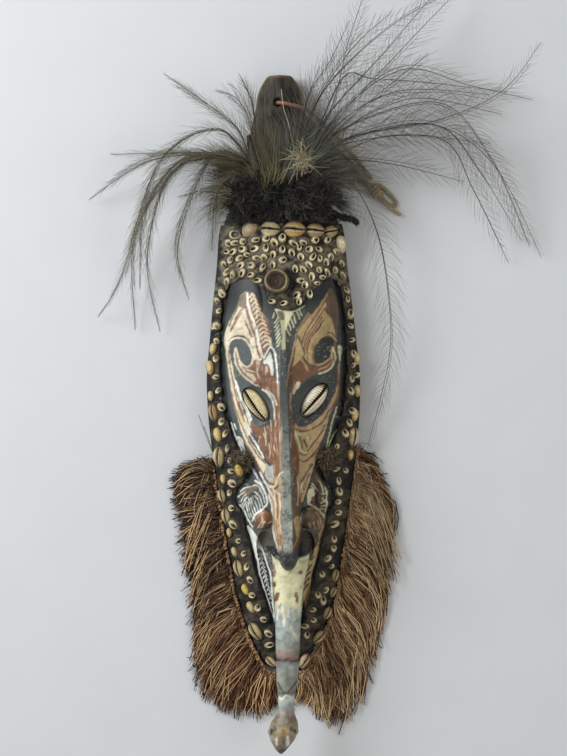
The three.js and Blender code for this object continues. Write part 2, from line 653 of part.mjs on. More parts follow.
function foreheadDisc(grow) {
  const { radius, rise, bore, dish } = disc;
  const floor = -grow;
  const outline = [
    [0, floor], [radius - 1.5 + grow, floor], [radius + grow, 2.5], [radius - 1.5 + grow, rise + grow],
    [bore, rise + grow], [bore - 1.5, rise - dish], [0, rise - dish + 1],
  ];
  const lathe = new THREE.LatheGeometry(outline.map(([x, y]) => new THREE.Vector2(x, y)), 12);
  const seat = seatMatrix(disc.across, disc.along, 0, 1.2, woodHeight);
  return placed(lathe, [0, 0, 0], [Math.PI / 2, 0, 0]).applyMatrix4(seat);
}

// Fur, feathers and fringe

function furBand(others) {
  const ball = mergeVertices(bareSphere(12, 7), 1e-4);
  const at = ball.attributes.position;
  for (let i = 0; i < at.count; i += 1) {
    const swell = 0.93 + 0.07 * scatter(i + 3);
    const [x, y, z] = fur.reach.map((reach, axis) => reach * at.getComponent(i, axis));
    at.setXYZ(i, x * swell, y, z * swell);
  }
  const body = solidOf(placed(ball, [fur.across, fur.along, fur.z]));
  const stub = solidOf(strand(furStub, circlePoints(6), (t) => 4.4 - 1.5 * t, 4));
  return cutBy(body.add(stub), others).simplify(thinning.fur);
}

function circlePoints(sides) {
  const points = [];
  for (let k = 0; k < sides; k += 1) {
    const angle = (2 * Math.PI * k) / sides;
    points.push([Math.cos(angle), Math.sin(angle)]);
  }
  return points;
}

function featherTuft(root, feathers) {
  const butt = solidOf(strand(root, circlePoints(6), profile(rootRadius.map((r, i) => [i / 3, r])), 4));
  const blade = [[-0.5, 0], [0.5, 0], [0, quill.thickness / quill.width]];
  const quills = feathers.map(({ tip, lift, route }) => {
    const last = route.length - 1;
    const points = route.map(([x, y], i) => {
      const t = i / last;
      return [x, y, quill.root * (1 - t) + tip * t + lift * 4 * t * (1 - t)];
    });
    const widthAt = (t) => quill.width * (0.5 + 0.5 * Math.sin(Math.PI * Math.min(1, t * 1.15)));
    return solidOf(strand(points, blade, widthAt, quill.steps));
  });
  return joined([butt, ...quills]).simplify(thinning.feather);
}

function fringeStrip(side, edge) {
  const inner = [];
  for (let along = fringe.top; along > 82; along -= 14) {
    inner.push([side * (boardHalf(along) + pasteSide + fringe.gap), along]);
  }
  for (const [across, along] of fringeHeel) inner.push([side * across, along]);
  const outer = [...edge, [side * 0.6, edge[edge.length - 1][1] + 3]];
  const line = (points) => new THREE.CatmullRomCurve3(points.map(([x, y]) => new THREE.Vector3(x, y, 0)));
  const [head, tips] = [line(inner), line(outer)];
  const count = fringe.locks * 2;
  const grid = [];
  for (let i = 0; i <= count; i += 1) {
    const root = head.getPointAt(i / count);
    const tip = tips.getPointAt(i / count);
    const reach = i % 2 ? 1 : 1 - fringe.notch / root.distanceTo(tip);
    const heights = [fringe.headZ, fringe.headZ - 2, fringe.tipZ];
    grid.push([0, 0.5, reach].map((t, j) => {
      const place = root.clone().lerp(tip, t);
      const across = side * Math.max(side * place.x, 0.5);
      return [across, place.y, heights[j] + (j === 1 && i % 2 ? 2 : 0)];
    }));
  }
  return solidOf(sheetBody(side < 0 ? grid : grid.reverse(), fringe.floor));
}

// A closed sheet: a grid of top points over a flat floor
function sheetBody(grid, floor) {
  const width = grid[0].length;
  const tops = grid.flat();
  const points = [...tops, ...tops.map(([x, y]) => [x, y, floor])];
  const lower = tops.length;
  const faces = [];
  const at = (i, j) => i * width + j;
  const wall = (a, b) => faces.push([a, b, b + lower], [a, b + lower, a + lower]);
  for (let i = 0; i < grid.length - 1; i += 1) {
    for (let j = 0; j < width - 1; j += 1) {
      const corners = [at(i, j), at(i, j + 1), at(i + 1, j + 1), at(i + 1, j)];
      const [a, b, c, d] = corners;
      faces.push([a, b, c], [a, c, d]);
      faces.push([c + lower, b + lower, a + lower], [d + lower, c + lower, a + lower]);
    }
    wall(at(i + 1, width - 1), at(i, width - 1));
    wall(at(i, 0), at(i + 1, 0));
  }
  for (let j = 0; j < width - 1; j += 1) {
    wall(at(0, j + 1), at(0, j));
    wall(at(grid.length - 1, j), at(grid.length - 1, j + 1));
  }
  return meshOf(points, faces);
}

// The cord and its knot

function cordTube(run, grow = 0) {
  return tube(run, cordDiameter + grow, 12, 8);
}

function cordKnot() {
  const ball = bareSphere(8, 5).scale(...knotReach);
  const body = solidOf(placed(ball, knotAt, [0, 0, -0.15]));
  const strands = [knotLoop, knotTail, knotTag].map((route) => solidOf(tube(route, cordDiameter, 6, 6)));
  const rooms = [frontRun, backRun].map((run) => solidOf(cordTube(run, 2 * fitGap)));
  return cutBy(joined([body, ...strands]), rooms).simplify(thinning.fine);
}

// Materials and assembly

const finishes = {
  wood: { color: 0x6e4a35, roughness: 0.62 },
  paste: { color: 0x3a332c, roughness: 0.9 },
  shell: { color: 0xd8c9a0, roughness: 0.35 },
  fur: { color: 0x1d1b1a, roughness: 1 },
  feather: { color: 0x3f3a34, roughness: 0.8 },
  fibre: { color: 0x8a623d, roughness: 0.95 },
  cord: { color: 0x8f6249, roughness: 0.9 },
};

const group = new THREE.Group();

function include(name, shape, finish) {
  const geometry = shape.isBufferGeometry ? shape : geometryOf(shape);
  const material = new THREE.MeshStandardMaterial({ ...finishes[finish], metalness: 0 });
  const mesh = new THREE.Mesh(geometry, material);
  mesh.name = name;
  group.add(mesh);
}

const eyeShells = eyes.map((eye) => {
  const matrix = seatMatrix(eye.across, eye.along, eye.turn, 0, woodHeight);
  return { name: eye.name, shape: cowrieGeometry(eye.length, true, 9, 5, eyeShape).applyMatrix4(matrix) };
});
const blocked = [
  [disc.across, disc.along, disc.radius + 5], [lostDisc.across, lostDisc.along, 9],
  ...[...browCowries, ...leftCowries, ...rightCowries].map(([x, y, length]) => [x, y, length / 2 + 3]),
  ...earLumps.map((lump) => [lump.across, lump.along, lump.radius + 2]),
];
const wood = maskWood();
const paste = shellPaste(solidOf(foreheadDisc(fitGap)), blocked);
const cowries = [
  ...cowrieSet('brow_cowrie', browCowries, paste),
  ...cowrieSet('rim_cowrie_left', leftCowries, paste),
  ...cowrieSet('rim_cowrie_right', rightCowries, paste),
];

include('mask_wood', wood, 'wood');
include('shell_paste', paste, 'paste');
for (const { name, shape } of [...eyeShells, ...cowries]) include(name, shape, 'shell');
include('forehead_disc', foreheadDisc(0), 'shell');
include('fur_band', furBand([boardBody(fitGap)]), 'fur');
include('feather_tuft_left', featherTuft(leftRoot, leftFeathers), 'feather');
include('feather_tuft_right', featherTuft(rightRoot, rightFeathers), 'feather');
include('fringe_left', fringeStrip(-1, leftFringeEdge), 'fibre');
include('fringe_right', fringeStrip(1, rightFringeEdge), 'fibre');
include('hanging_cord_front', cordTube(frontRun), 'cord');
include('hanging_cord_back', cordTube(backRun), 'cord');
include('cord_knot', cordKnot(), 'cord');

// The origin is on the ground, under the middle of all but the cord
const body = new THREE.Box3();
for (const mesh of group.children) {
  if (!/cord/.test(mesh.name)) body.expandByObject(mesh);
}
const middle = body.getCenter(new THREE.Vector3());
for (const mesh of group.children) mesh.geometry.translate(-middle.x, -middle.y, -body.min.z);

export default group;
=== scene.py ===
"""Looks of a long-nosed Sepik River mask: painted wood, shell-set paste, fur, feathers, fringe and cord.

Places are given in millimetres: across from the mask's middle line, along from the beak's tip, and up.
"""

import logging
import math
from dataclasses import dataclass, field
from enum import Enum
from typing import Callable, Sequence

import bpy
import numpy as np
from mathutils import Matrix, Vector


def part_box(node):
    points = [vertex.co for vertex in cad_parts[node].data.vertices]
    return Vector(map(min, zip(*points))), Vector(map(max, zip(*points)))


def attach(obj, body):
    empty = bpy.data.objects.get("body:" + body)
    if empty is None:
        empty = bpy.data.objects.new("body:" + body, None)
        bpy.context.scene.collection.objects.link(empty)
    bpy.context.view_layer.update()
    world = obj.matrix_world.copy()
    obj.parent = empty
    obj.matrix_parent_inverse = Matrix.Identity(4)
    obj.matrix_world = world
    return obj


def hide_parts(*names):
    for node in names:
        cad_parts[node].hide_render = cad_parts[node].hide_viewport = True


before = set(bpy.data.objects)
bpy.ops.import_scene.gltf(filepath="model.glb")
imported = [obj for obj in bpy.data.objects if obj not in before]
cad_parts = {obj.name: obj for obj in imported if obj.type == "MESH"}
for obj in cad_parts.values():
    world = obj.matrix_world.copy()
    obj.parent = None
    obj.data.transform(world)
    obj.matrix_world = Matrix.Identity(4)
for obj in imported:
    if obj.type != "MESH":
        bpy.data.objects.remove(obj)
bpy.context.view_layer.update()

MM = 0.001
BODY = "root"
BOARD_WIDEST = 70.76
WOOD_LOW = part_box("mask_wood")[0]
# Where the middle line and the beak's tip are in the part's own frame
SHIFT = np.array([WOOD_LOW[0] / MM + BOARD_WIDEST, WOOD_LOW[1] / MM, 0.0])
log = logging.getLogger("mask")

Points = Sequence[Sequence[float]]


# Small shared maths


def profile(points: Points) -> Callable[[np.ndarray], np.ndarray]:
    """Makes a smooth function through points that never overshoots them.

    Args:
        points: pairs of place and value, in rising order of place.

    Returns:
        A function of one array.
    """
    xs, ys = np.array(points, float).T
    chord = np.diff(ys) / np.diff(xs)
    slope = np.concatenate([chord[:1], chord[1:], chord[-1:]])
    before, after = chord[:-1], chord[1:]
    total = np.where(before + after == 0, 1, before + after)
    slope[1:-1] = np.where(before * after <= 0, 0, 2 * before * after / total)

    def at(x: np.ndarray) -> np.ndarray:
        """Gives the value at x."""
        x = np.clip(np.asarray(x, float), xs[0], xs[-1])
        i = np.clip(np.searchsorted(xs, x, side="right") - 1, 0, len(xs) - 2)
        span = xs[i + 1] - xs[i]
        t = (x - xs[i]) / span
        rise = t * t * (3 - 2 * t)
        lead = t * (1 - t) * ((1 - t) * slope[i] - t * slope[i + 1])
        return ys[i] + (ys[i + 1] - ys[i]) * rise + lead * span

    return at


def smooth(x: np.ndarray) -> np.ndarray:
    """Rises smoothly from 0 to 1 as x does."""
    t = np.clip(x, 0, 1)
    return t * t * (3 - 2 * t)


def curve_through(points: Points, per_span: int = 8, closed: bool = False) -> np.ndarray:
    """Runs a smooth curve through points.

    Args:
        points: the places that the curve passes.
        per_span: how many steps each stretch between two of them gets.
        closed: whether the curve returns to its start.

    Returns:
        The curve's points, one a row.
    """
    p = np.array(points, float)
    q = np.vstack([p[-1:], p, p[:2]]) if closed else np.vstack([p[:1], p, p[-1:]])
    t = (np.arange(per_span) / per_span)[None, :, None]
    a, b, c, d = (q[i : len(q) - 3 + i][:, None, :] for i in range(4))
    curve = 0.5 * (2 * b + (c - a) * t + (2 * a - 5 * b + 4 * c - d) * t**2 + (3 * b - a - 3 * c + d) * t**3)
    curve = curve.reshape(-1, p.shape[1])
    return curve if closed else np.vstack([curve, p[-1:]])


def evenly(line: np.ndarray, count: int) -> np.ndarray:
    """Spaces count points evenly along a line."""
    walked = np.concatenate([[0], np.cumsum(np.linalg.norm(np.diff(line, axis=0), axis=1))])
    stops = np.linspace(0, walked[-1], count)
    return np.stack([np.interp(stops, walked, line[:, k]) for k in range(line.shape[1])], axis=1)


def on_line(line: np.ndarray, share: np.ndarray) -> np.ndarray:
    """Picks an evenly spaced line's points at shares of its length."""
    return line[(share * (len(line) - 1)).astype(int)]


def length_of(line: np.ndarray) -> float:
    """Gives a line's length."""
    return float(np.linalg.norm(np.diff(line, axis=0), axis=1).sum())


def chance(points: np.ndarray, size: float, seed: int) -> np.ndarray:
    """Gives smooth noise from -1 to 1.

    Args:
        points: places, one a row, with two or three numbers.
        size: how far apart the noise's lumps are, in the points' unit.
        seed: which noise it is.

    Returns:
        One number for each place.
    """
    cell = np.floor(points / size).astype(np.int64)
    t = points / size - cell
    t = t * t * (3 - 2 * t)
    total = np.zeros(len(points))
    # Large odd numbers stir each cell's place into a number of its own
    keys = np.array([73856093, 19349663, 83492791][: points.shape[1]])
    for corner in np.ndindex(*(2,) * points.shape[1]):
        mixed = ((cell + corner) * keys).sum(1) + seed * 2654435761
        mixed = (mixed ^ (mixed >> 13)) * 1274126177 & 0x7FFFFFFF
        weight = np.prod(np.where(corner, t, 1 - t), axis=1)
        total += weight * ((mixed >> 7) % 4096 / 2047.5 - 1)
    return total


def drift(points: np.ndarray, size: float, seed: int) -> np.ndarray:
    """Gives smooth noise, as chance does, in each of three directions.

    Args:
        points: places, one a row.
        size: how far apart the noise's lumps are.
        seed: which noise it is, and the first of three.

    Returns:
        Three numbers for each place.
    """
    return np.stack([chance(points, size, seed + k) for k in range(3)], axis=1)


def unit(ways: np.ndarray) -> np.ndarray:
    """Gives each row a length of 1."""
    return ways / np.linalg.norm(ways, axis=1, keepdims=True)


def reach_from(places: np.ndarray, across: float, along: float, wide: float, long: float) -> np.ndarray:
    """Gives how far out each place is from an oval's middle.

    Args:
        places: places, one a row.
        across: the oval's middle across.
        along: its middle along.
        wide: half its width.
        long: half its length.

    Returns:
        One number for each place, which is 1 on the oval's edge.
    """
    return np.sqrt(((places[:, 0] - across) / wide) ** 2 + ((places[:, 1] - along) / long) ** 2)


def gap_to(line: np.ndarray, points: np.ndarray) -> np.ndarray:
    """Gives each point's distance to a line, on the flat.

    Args:
        line: the line's points.
        points: the places to measure from.

    Returns:
        One distance for each place.
    """
    start, run = line[:-1], np.diff(line, axis=0)
    long = np.maximum((run**2).sum(1), 1e-12)
    best = np.full(len(points), np.inf)
    for first in range(0, len(start), 24):
        a, d = start[first : first + 24], run[first : first + 24]
        off = points[:, None, :] - a
        t = np.clip((off * d).sum(-1) / long[first : first + 24], 0, 1)
        best = np.minimum(best, ((off - t[..., None] * d) ** 2).sum(-1).min(1))
    return np.sqrt(best)


def within(outline: np.ndarray, points: np.ndarray) -> np.ndarray:
    """Tells which points lie inside a closed outline.

    Args:
        outline: the outline's points.
        points: the places to ask about.

    Returns:
        True or false for each place.
    """
    a, b = outline, np.roll(outline, -1, axis=0)
    x, y = points[:, :1], points[:, 1:2]
    crosses = (a[:, 1] > y) != (b[:, 1] > y)
    rise = np.where(b[:, 1] == a[:, 1], 1, b[:, 1] - a[:, 1])
    meets = a[:, 0] + (y - a[:, 1]) * (b[:, 0] - a[:, 0]) / rise
    return (crosses & (x < meets)).sum(1) % 2 == 1


# Colours and nodes


def linear(colour: str) -> np.ndarray:
    """Turns an sRGB hex colour into linear red, green and blue."""
    value = np.array([int(colour[i : i + 2], 16) / 255 for i in (1, 3, 5)])
    return np.where(value <= 0.04045, value / 12.92, ((value + 0.055) / 1.055) ** 2.4)


def opaque(colour: str) -> tuple[float, ...]:
    """Turns an sRGB hex colour into what a node's colour socket takes."""
    return (*linear(colour), 1.0)


def over(tone: np.ndarray, colour: str | np.ndarray, share: np.ndarray) -> np.ndarray:
    """Lays a colour over each point's own.

    Args:
        tone: each point's linear colour before.
        colour: one hex colour, or a linear one for each point.
        share: how much it covers each point, from 0 to 1.

    Returns:
        Linear colours.
    """
    cover = np.reshape(share, (-1, 1))
    return tone * (1 - cover) + (linear(colour) if isinstance(colour, str) else colour) * cover


def between(first: str, second: str, share: np.ndarray) -> np.ndarray:
    """Mixes two colours.

    Args:
        first: the hex colour where the share is 0.
        second: the hex colour where it is 1.
        share: numbers from 0 to 1, with a last axis of one.

    Returns:
        Linear colours.
    """
    return linear(first) * (1 - share) + linear(second) * share


def ramp(at: np.ndarray, stops: Sequence[tuple[float, str]]) -> np.ndarray:
    """Gives the colour at each place on a scale.

    Args:
        at: the places.
        stops: the scale's own places and hex colours, in rising order.

    Returns:
        Linear colours, which fade from each stop to the next.
    """
    places = [place for place, _ in stops]
    colours = np.array([linear(colour) for _, colour in stops])
    return np.stack([np.interp(at, places, colours[:, k]) for k in range(3)], axis=1)


def add_node(tree: bpy.types.NodeTree, kind: str, settings: dict | None = None,
             links: dict | None = None) -> bpy.types.Node:
    """Adds one node.

    Args:
        tree: the tree that gets it.
        kind: Blender's name for this kind of node.
        settings: values for its inputs, by name or number, and for its own options, by name.
        links: the outputs that feed its inputs, by the input's name or number.

    Returns:
        The node.
    """
    node = tree.nodes.new(kind)
    options = {k: v for k, v in (settings or {}).items() if isinstance(k, str) and k not in node.inputs}
    for key, value in options.items():
        setattr(node, key, value)
    for key, value in (settings or {}).items():
        if key not in options:
            node.inputs[key].default_value = value
    for key, source in (links or {}).items():
        tree.links.new(source, node.inputs[key])
    return node


class Source(Enum):
    """Where a finish takes its main colour from."""

    PLAIN = "one colour"
    TONE = "the piece's own colour at each point"


@dataclass(frozen=True)
class Finish:
    """A finish with patches of a second colour and a fine rough surface."""

    name: str
    base: str
    patch: str
    patch_mm: float = 6.0
    patch_share: float = 0.35
    roughness: float = 0.7
    grain_mm: float = 1.2
    grain_depth: float = 0.2
    stretch: tuple[float, float, float] = (1.0, 1.0, 1.0)
    source: Source = Source.PLAIN
    coat: float = 0.0
    dulling: float = 0.45

    def material(self) -> bpy.types.Material:
        """Builds the finish once.

        Returns:
            The material.
        """
        made = bpy.data.materials.get(self.name)
        if made:
            return made
        made = bpy.data.materials.new(self.name)
        made.use_nodes = True
        tree = made.node_tree
        surface = tree.nodes["Principled BSDF"]
        place = add_node(tree, "ShaderNodeTexCoord").outputs["Object"]
        turned = add_node(tree, "ShaderNodeMapping", {"Scale": self.stretch}, {"Vector": place}).outputs[0]
        patches = add_node(tree, "ShaderNodeTexNoise",
                           {"Scale": 1 / (self.patch_mm * MM), "Detail": 4.0, "Roughness": 0.6},
                           {"Vector": turned})
        share = add_node(tree, "ShaderNodeMapRange",
                         {"From Min": 0.42, "From Max": 0.62, "To Max": self.patch_share},
                         {"Value": patches.outputs["Fac"]})
        blend = add_node(tree, "ShaderNodeMixRGB",
                         {"Color1": opaque(self.base), "Color2": opaque(self.patch)},
                         {"Fac": share.outputs[0]})
        if self.source is Source.TONE:
            tone = add_node(tree, "ShaderNodeAttribute", {"attribute_name": "tone"})
            tree.links.new(tone.outputs["Color"], blend.inputs["Color1"])
        tree.links.new(blend.outputs[0], surface.inputs["Base Color"])
        grain = add_node(tree, "ShaderNodeTexNoise",
                         {"Scale": 1 / (self.grain_mm * MM), "Detail": 3.0}, {"Vector": turned})
        bump = add_node(tree, "ShaderNodeBump", {"Strength": 0.8, "Distance": self.grain_depth * MM},
                        {"Height": grain.outputs["Fac"]})
        tree.links.new(bump.outputs[0], surface.inputs["Normal"])
        rough = add_node(tree, "ShaderNodeMapRange",
                         {"To Min": self.roughness - 0.1, "To Max": min(1.0, self.roughness + 0.1)},
                         {"Value": grain.outputs["Fac"]})
        tree.links.new(rough.outputs[0], surface.inputs["Roughness"])
        if self.source is Source.TONE:
            offset = add_node(tree, "ShaderNodeMath", {"operation": "ADD", 1: self.dulling},
                              {0: rough.outputs[0]})
            dull = add_node(tree, "ShaderNodeMath",
                            {"operation": "MULTIPLY_ADD", 1: -self.dulling, "use_clamp": True},
                            {0: tone.outputs["Alpha"]})
            tree.links.new(offset.outputs[0], dull.inputs[2])
            tree.links.new(dull.outputs[0], surface.inputs["Roughness"])
        surface.inputs["Coat Weight"].default_value = self.coat
        return made


# Earth and lime paint rubbed on wood: satin where it is thick, worn to pale specks on the high places
PAINTED_WOOD = Finish("ochre_and_lime_paint_on_carved_wood", "#434b4a", "#2a2c29", patch_mm=9.0,
                      patch_share=0.2, roughness=0.56, grain_mm=1.1, grain_depth=0.16,
                      stretch=(1.0, 0.35, 1.0), source=Source.TONE, coat=0.03)
# Clay and resin paste pressed on by hand: dull, lumpy, painted shade in the hollows, dust and painted
# highlight on lumps
PASTE = Finish("hand_pressed_clay_and_resin_paste", "#2b261e", "#151210", patch_mm=3.0, patch_share=0.45,
               roughness=0.85, grain_mm=1.2, grain_depth=0.55, source=Source.TONE)
# Sea shell, cut and polished by handling: hard cream glaze with yellow and brown stains
SHELL = Finish("handled_cowrie_shell", "#d8c9a0", "#8e7140", patch_mm=3.2, patch_share=0.32,
               roughness=0.42, grain_mm=2.0, grain_depth=0.05, source=Source.TONE, coat=0.04)
# Small whelk shells with their backs cut off: duller cream, with painted shade in the holes
SMALL_SHELL = Finish("cut_nassa_shell", "#d9cfae", "#5d4c30", patch_mm=3.0, patch_share=0.5,
                     roughness=0.4, grain_mm=1.0, grain_depth=0.1, source=Source.TONE, coat=0.15)
# Ground shell disc, browned by smoke
RINGED_SHELL = Finish("smoked_ground_shell_disc", "#8d7355", "#33251a", patch_mm=2.2, patch_share=0.5,
                      roughness=0.68, grain_mm=0.8, grain_depth=0.14, source=Source.TONE)
# Black cuscus fur: soft matt hairs with paler grey tips, partly painted highlight
FUR = Finish("black_cuscus_fur", "#1c1b1b", "#35332e", patch_mm=8.0, patch_share=0.3,
             roughness=0.85, grain_mm=2.0, grain_depth=0.1, source=Source.TONE)
# Cassowary feather: wiry dark quills with loose barbs
FEATHER = Finish("cassowary_feather", "#4b463e", "#4a463c", patch_mm=12.0, patch_share=0.3,
                 roughness=0.7, grain_mm=2.0, grain_depth=0.05, source=Source.TONE)
# Sago-leaf fibre: dry split strands, from straw to dark red-brown
FIBRE = Finish("dry_sago_fibre", "#6a4226", "#3a2415", patch_mm=14.0, patch_share=0.3,
               roughness=0.75, grain_mm=1.0, grain_depth=0.1, source=Source.TONE)
# Hand-plaited bark cord: dull, fuzzy and rubbed paler on the ridges
CORD = Finish("plaited_bark_cord", "#8f6249", "#4f4434", patch_mm=5.0, patch_share=0.4,
              roughness=0.9, grain_mm=0.7, grain_depth=0.25, source=Source.TONE)
# Matt painted floor, so that the mask stands out
FLOOR = Finish("matt_pale_floor", "#d0d3d6", "#cbced1", patch_mm=60.0, patch_share=0.3,
               roughness=0.85, grain_mm=3.0, grain_depth=0.05)


# Meshes


@dataclass
class Shell:
    """Points and faces in millimetres."""

    points: np.ndarray
    faces: list

    def plus(self, other: "Shell") -> "Shell":
        """Puts another body beside this one in the same mesh."""
        start = len(self.points)
        moved = [tuple(i + start for i in face) for face in other.faces]
        return Shell(np.vstack([self.points, other.points]), list(self.faces) + moved)


def strip_faces(rows: int, columns: int, around: bool = False) -> list:
    """Gives the four-sided faces of a grid of points.

    Args:
        rows: how many rows the grid has.
        columns: how many points each row has.
        around: whether each row closes on itself.

    Returns:
        The faces, each four indices.
    """
    i = np.arange(rows - 1)[:, None] * columns
    j = np.arange(columns if around else columns - 1)[None, :]
    k = (j + 1) % columns
    return np.stack([i + j, i + k, i + k + columns, i + j + columns], axis=-1).reshape(-1, 4).tolist()


def ringed(rings: np.ndarray) -> Shell:
    """Closes a body through rings of points, one row a ring, with a flat cap at each end."""
    count, sides = rings.shape[:2]
    faces = strip_faces(count, sides, around=True)
    faces += [list(range(sides))[::-1], list(range((count - 1) * sides, count * sides))]
    return Shell(rings.reshape(-1, 3), faces)


def tube(path: np.ndarray, radius: np.ndarray, sides: int) -> Shell:
    """Makes a round tube along a path.

    Args:
        path: the middle line's points.
        radius: one radius for each point, or one for each point and side.
        sides: how many sides the tube has.

    Returns:
        The tube, closed at both ends.
    """
    run = unit(np.gradient(path, axis=0))
    widths = np.broadcast_to(np.reshape(radius, (len(path), -1)), (len(path), sides))
    side = np.cross(run[0], (0, 0, 1) if abs(run[0][2]) < 0.9 else (0, 1, 0))
    angle = np.arange(sides) * 2 * np.pi / sides
    rings = []
    for at, way, wide in zip(path, run, widths):
        side = side - way * side.dot(way)
        side /= np.linalg.norm(side)
        rise = np.cross(way, side)
        rings.append(at + (np.outer(np.cos(angle), side) + np.outer(np.sin(angle), rise)) * wide[:, None])
    return ringed(np.array(rings))


def slab(rows: np.ndarray, across: np.ndarray, top: np.ndarray, under: np.ndarray) -> Shell:
    """Makes a slab with a shaped top and a plain underside.

    Args:
        rows: where each row is along the mask.
        across: each row's places across, from left to right.
        top: the top's height at each of them.
        under: each row's height underneath.

    Returns:
        The closed slab.
    """
    count, width = across.shape
    along = np.repeat(rows[:, None], width, axis=1)
    upper = np.stack([across, along, top], axis=-1).reshape(-1, 3)
    ends = np.stack([across[:, [0, -1]], along[:, :2], np.repeat(under[:, None], 2, axis=1)], axis=-1)
    points = np.vstack([upper, ends.reshape(-1, 3)])
    low, last = count * width, width - 1
    faces = strip_faces(count, width)
    for i in range(count - 1):
        left, right = low + 2 * i, low + 2 * i + 1
        faces.append([left, left + 2, right + 2, right])
        faces.append([i * width, (i + 1) * width, left + 2, left])
        faces.append([(i + 1) * width + last, i * width + last, right, right + 2])
    faces.append([low, low + 1] + list(range(last, -1, -1)))
    end = (count - 1) * width
    faces.append([low + 2 * count - 1, low + 2 * count - 2] + list(range(end, end + width)))
    return Shell(points, faces)


def lathe(outline: Points, sides: int) -> Shell:
    """Turns an outline of radius and height, from the foot's middle to the top's, round the upright axis."""
    edge = np.array(outline, float)
    angle = np.arange(sides) * 2 * np.pi / sides
    turned = np.stack([np.outer(edge[:, 0], np.cos(angle)), np.outer(edge[:, 0], np.sin(angle)),
                       np.repeat(edge[:, 1:], sides, axis=1)], axis=-1)
    return ringed(turned)


def new_mesh(name: str, points: np.ndarray, edges: Sequence = (), faces: Sequence = ()) -> bpy.types.Mesh:
    """Makes a mesh of places in millimetres on the mask.

    Args:
        name: the mesh's name.
        points: the places, one a row.
        edges: pairs of points.
        faces: rings of points.

    Returns:
        The mesh, in metres in the part's own frame.
    """
    mesh = bpy.data.meshes.new(name)
    mesh.from_pydata(((np.array(points) + SHIFT) * MM).tolist(), edges, faces)
    return mesh


def new_object(name: str, data: bpy.types.ID) -> bpy.types.Object:
    """Makes an object of some data and puts it in the scene."""
    made = bpy.data.objects.new(name, data)
    bpy.context.collection.objects.link(made)
    return made


def mesh_piece(name: str, shell: Shell, finish: Finish, tone: np.ndarray | None = None,
               sharp: float = 40.0) -> bpy.types.Object:
    """Makes an object of a body, with its place in its mesh.

    Args:
        name: the piece's name.
        shell: the body, in millimetres.
        finish: what it is finished in.
        tone: a linear colour, or one for each point, if it has its own.
        sharp: the angle in degrees past which an edge shows as an edge.

    Returns:
        The object.
    """
    mesh = new_mesh(name, shell.points, faces=shell.faces)
    mesh.update()
    mesh.polygons.foreach_set("use_smooth", [True] * len(mesh.polygons))
    mesh.set_sharp_from_angle(angle=math.radians(sharp))
    mesh.materials.append(finish.material())
    if tone is not None:
        paint(mesh, tone)
    return new_object(name, mesh)


def loose_shape(name: str, shell: Shell, finish: Finish, tone: np.ndarray, sharp: float,
                scale: float) -> bpy.types.Object:
    """Makes a shape that a tree sets many times, round its own origin.

    Args:
        name: the shape's name.
        shell: the body.
        finish: what it is finished in.
        tone: a linear colour for each point.
        sharp: the angle in degrees past which an edge shows as an edge.
        scale: how long one unit of the body is in metres.

    Returns:
        The object.
    """
    shape = mesh_piece(name, shell, finish, tone, sharp)
    shape.data.vertices.foreach_set("co", (shell.points * scale).astype(np.float32).ravel())
    return shape


def paint(mesh: bpy.types.Mesh, tone: np.ndarray) -> None:
    """Stores a linear colour at each point of a mesh, with a fourth number below 1 where it is duller."""
    layer = mesh.attributes.get("tone") or mesh.attributes.new("tone", "FLOAT_COLOR", "POINT")
    colours = np.ones((len(mesh.vertices), 4), np.float32)
    colours[:, : tone.shape[-1]] = tone
    layer.data.foreach_set("color", colours.ravel())


def places_of(mesh: bpy.types.Mesh) -> np.ndarray:
    """Gives a mesh's points in millimetres on the mask."""
    spots = np.empty(len(mesh.vertices) * 3, np.float32)
    mesh.vertices.foreach_get("co", spots)
    return spots.reshape(-1, 3).astype(float) / MM - SHIFT


def settle(piece: bpy.types.Object) -> bpy.types.Object:
    """Turns a piece's modifiers into plain mesh.

    Args:
        piece: the object, whose modifiers are live.

    Returns:
        The same object, with no modifiers.
    """
    graph = bpy.context.evaluated_depsgraph_get()
    plain = bpy.data.meshes.new_from_object(piece.evaluated_get(graph), preserve_all_data_layers=True,
                                            depsgraph=graph)
    piece.modifiers.clear()
    piece.data = plain
    return piece


def carved(piece: bpy.types.Object, tools: Sequence[bpy.types.Object], way: str = "DIFFERENCE") -> None:
    """Cuts bodies out of a piece, or joins them to it, and removes them.

    Args:
        piece: the object that changes.
        tools: the bodies.
        way: Blender's name for what is done with them.
    """
    for tool in tools:
        step = piece.modifiers.new(tool.name, "BOOLEAN")
        step.solver, step.operation, step.object = "MANIFOLD", way, tool
    settle(piece)
    for tool in tools:
        bpy.data.objects.remove(tool)


def hand_in(piece: bpy.types.Object, slot: str, *nodes: str) -> bpy.types.Object:
    """Puts a finished piece on the mask's one body and reports it.

    Args:
        piece: the finished object.
        slot: a material slot's name; not used.
        nodes: the solids that it stands for.

    Returns:
        The same object.
    """
    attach(piece, BODY)
    if nodes:
        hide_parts(*nodes)
    sides = sum(len(face.vertices) - 2 for face in piece.data.polygons)
    log.info("%s: %d triangles, stands for %s", piece.name, sides, ", ".join(nodes) or "nothing")
    return piece


# Geometry Nodes


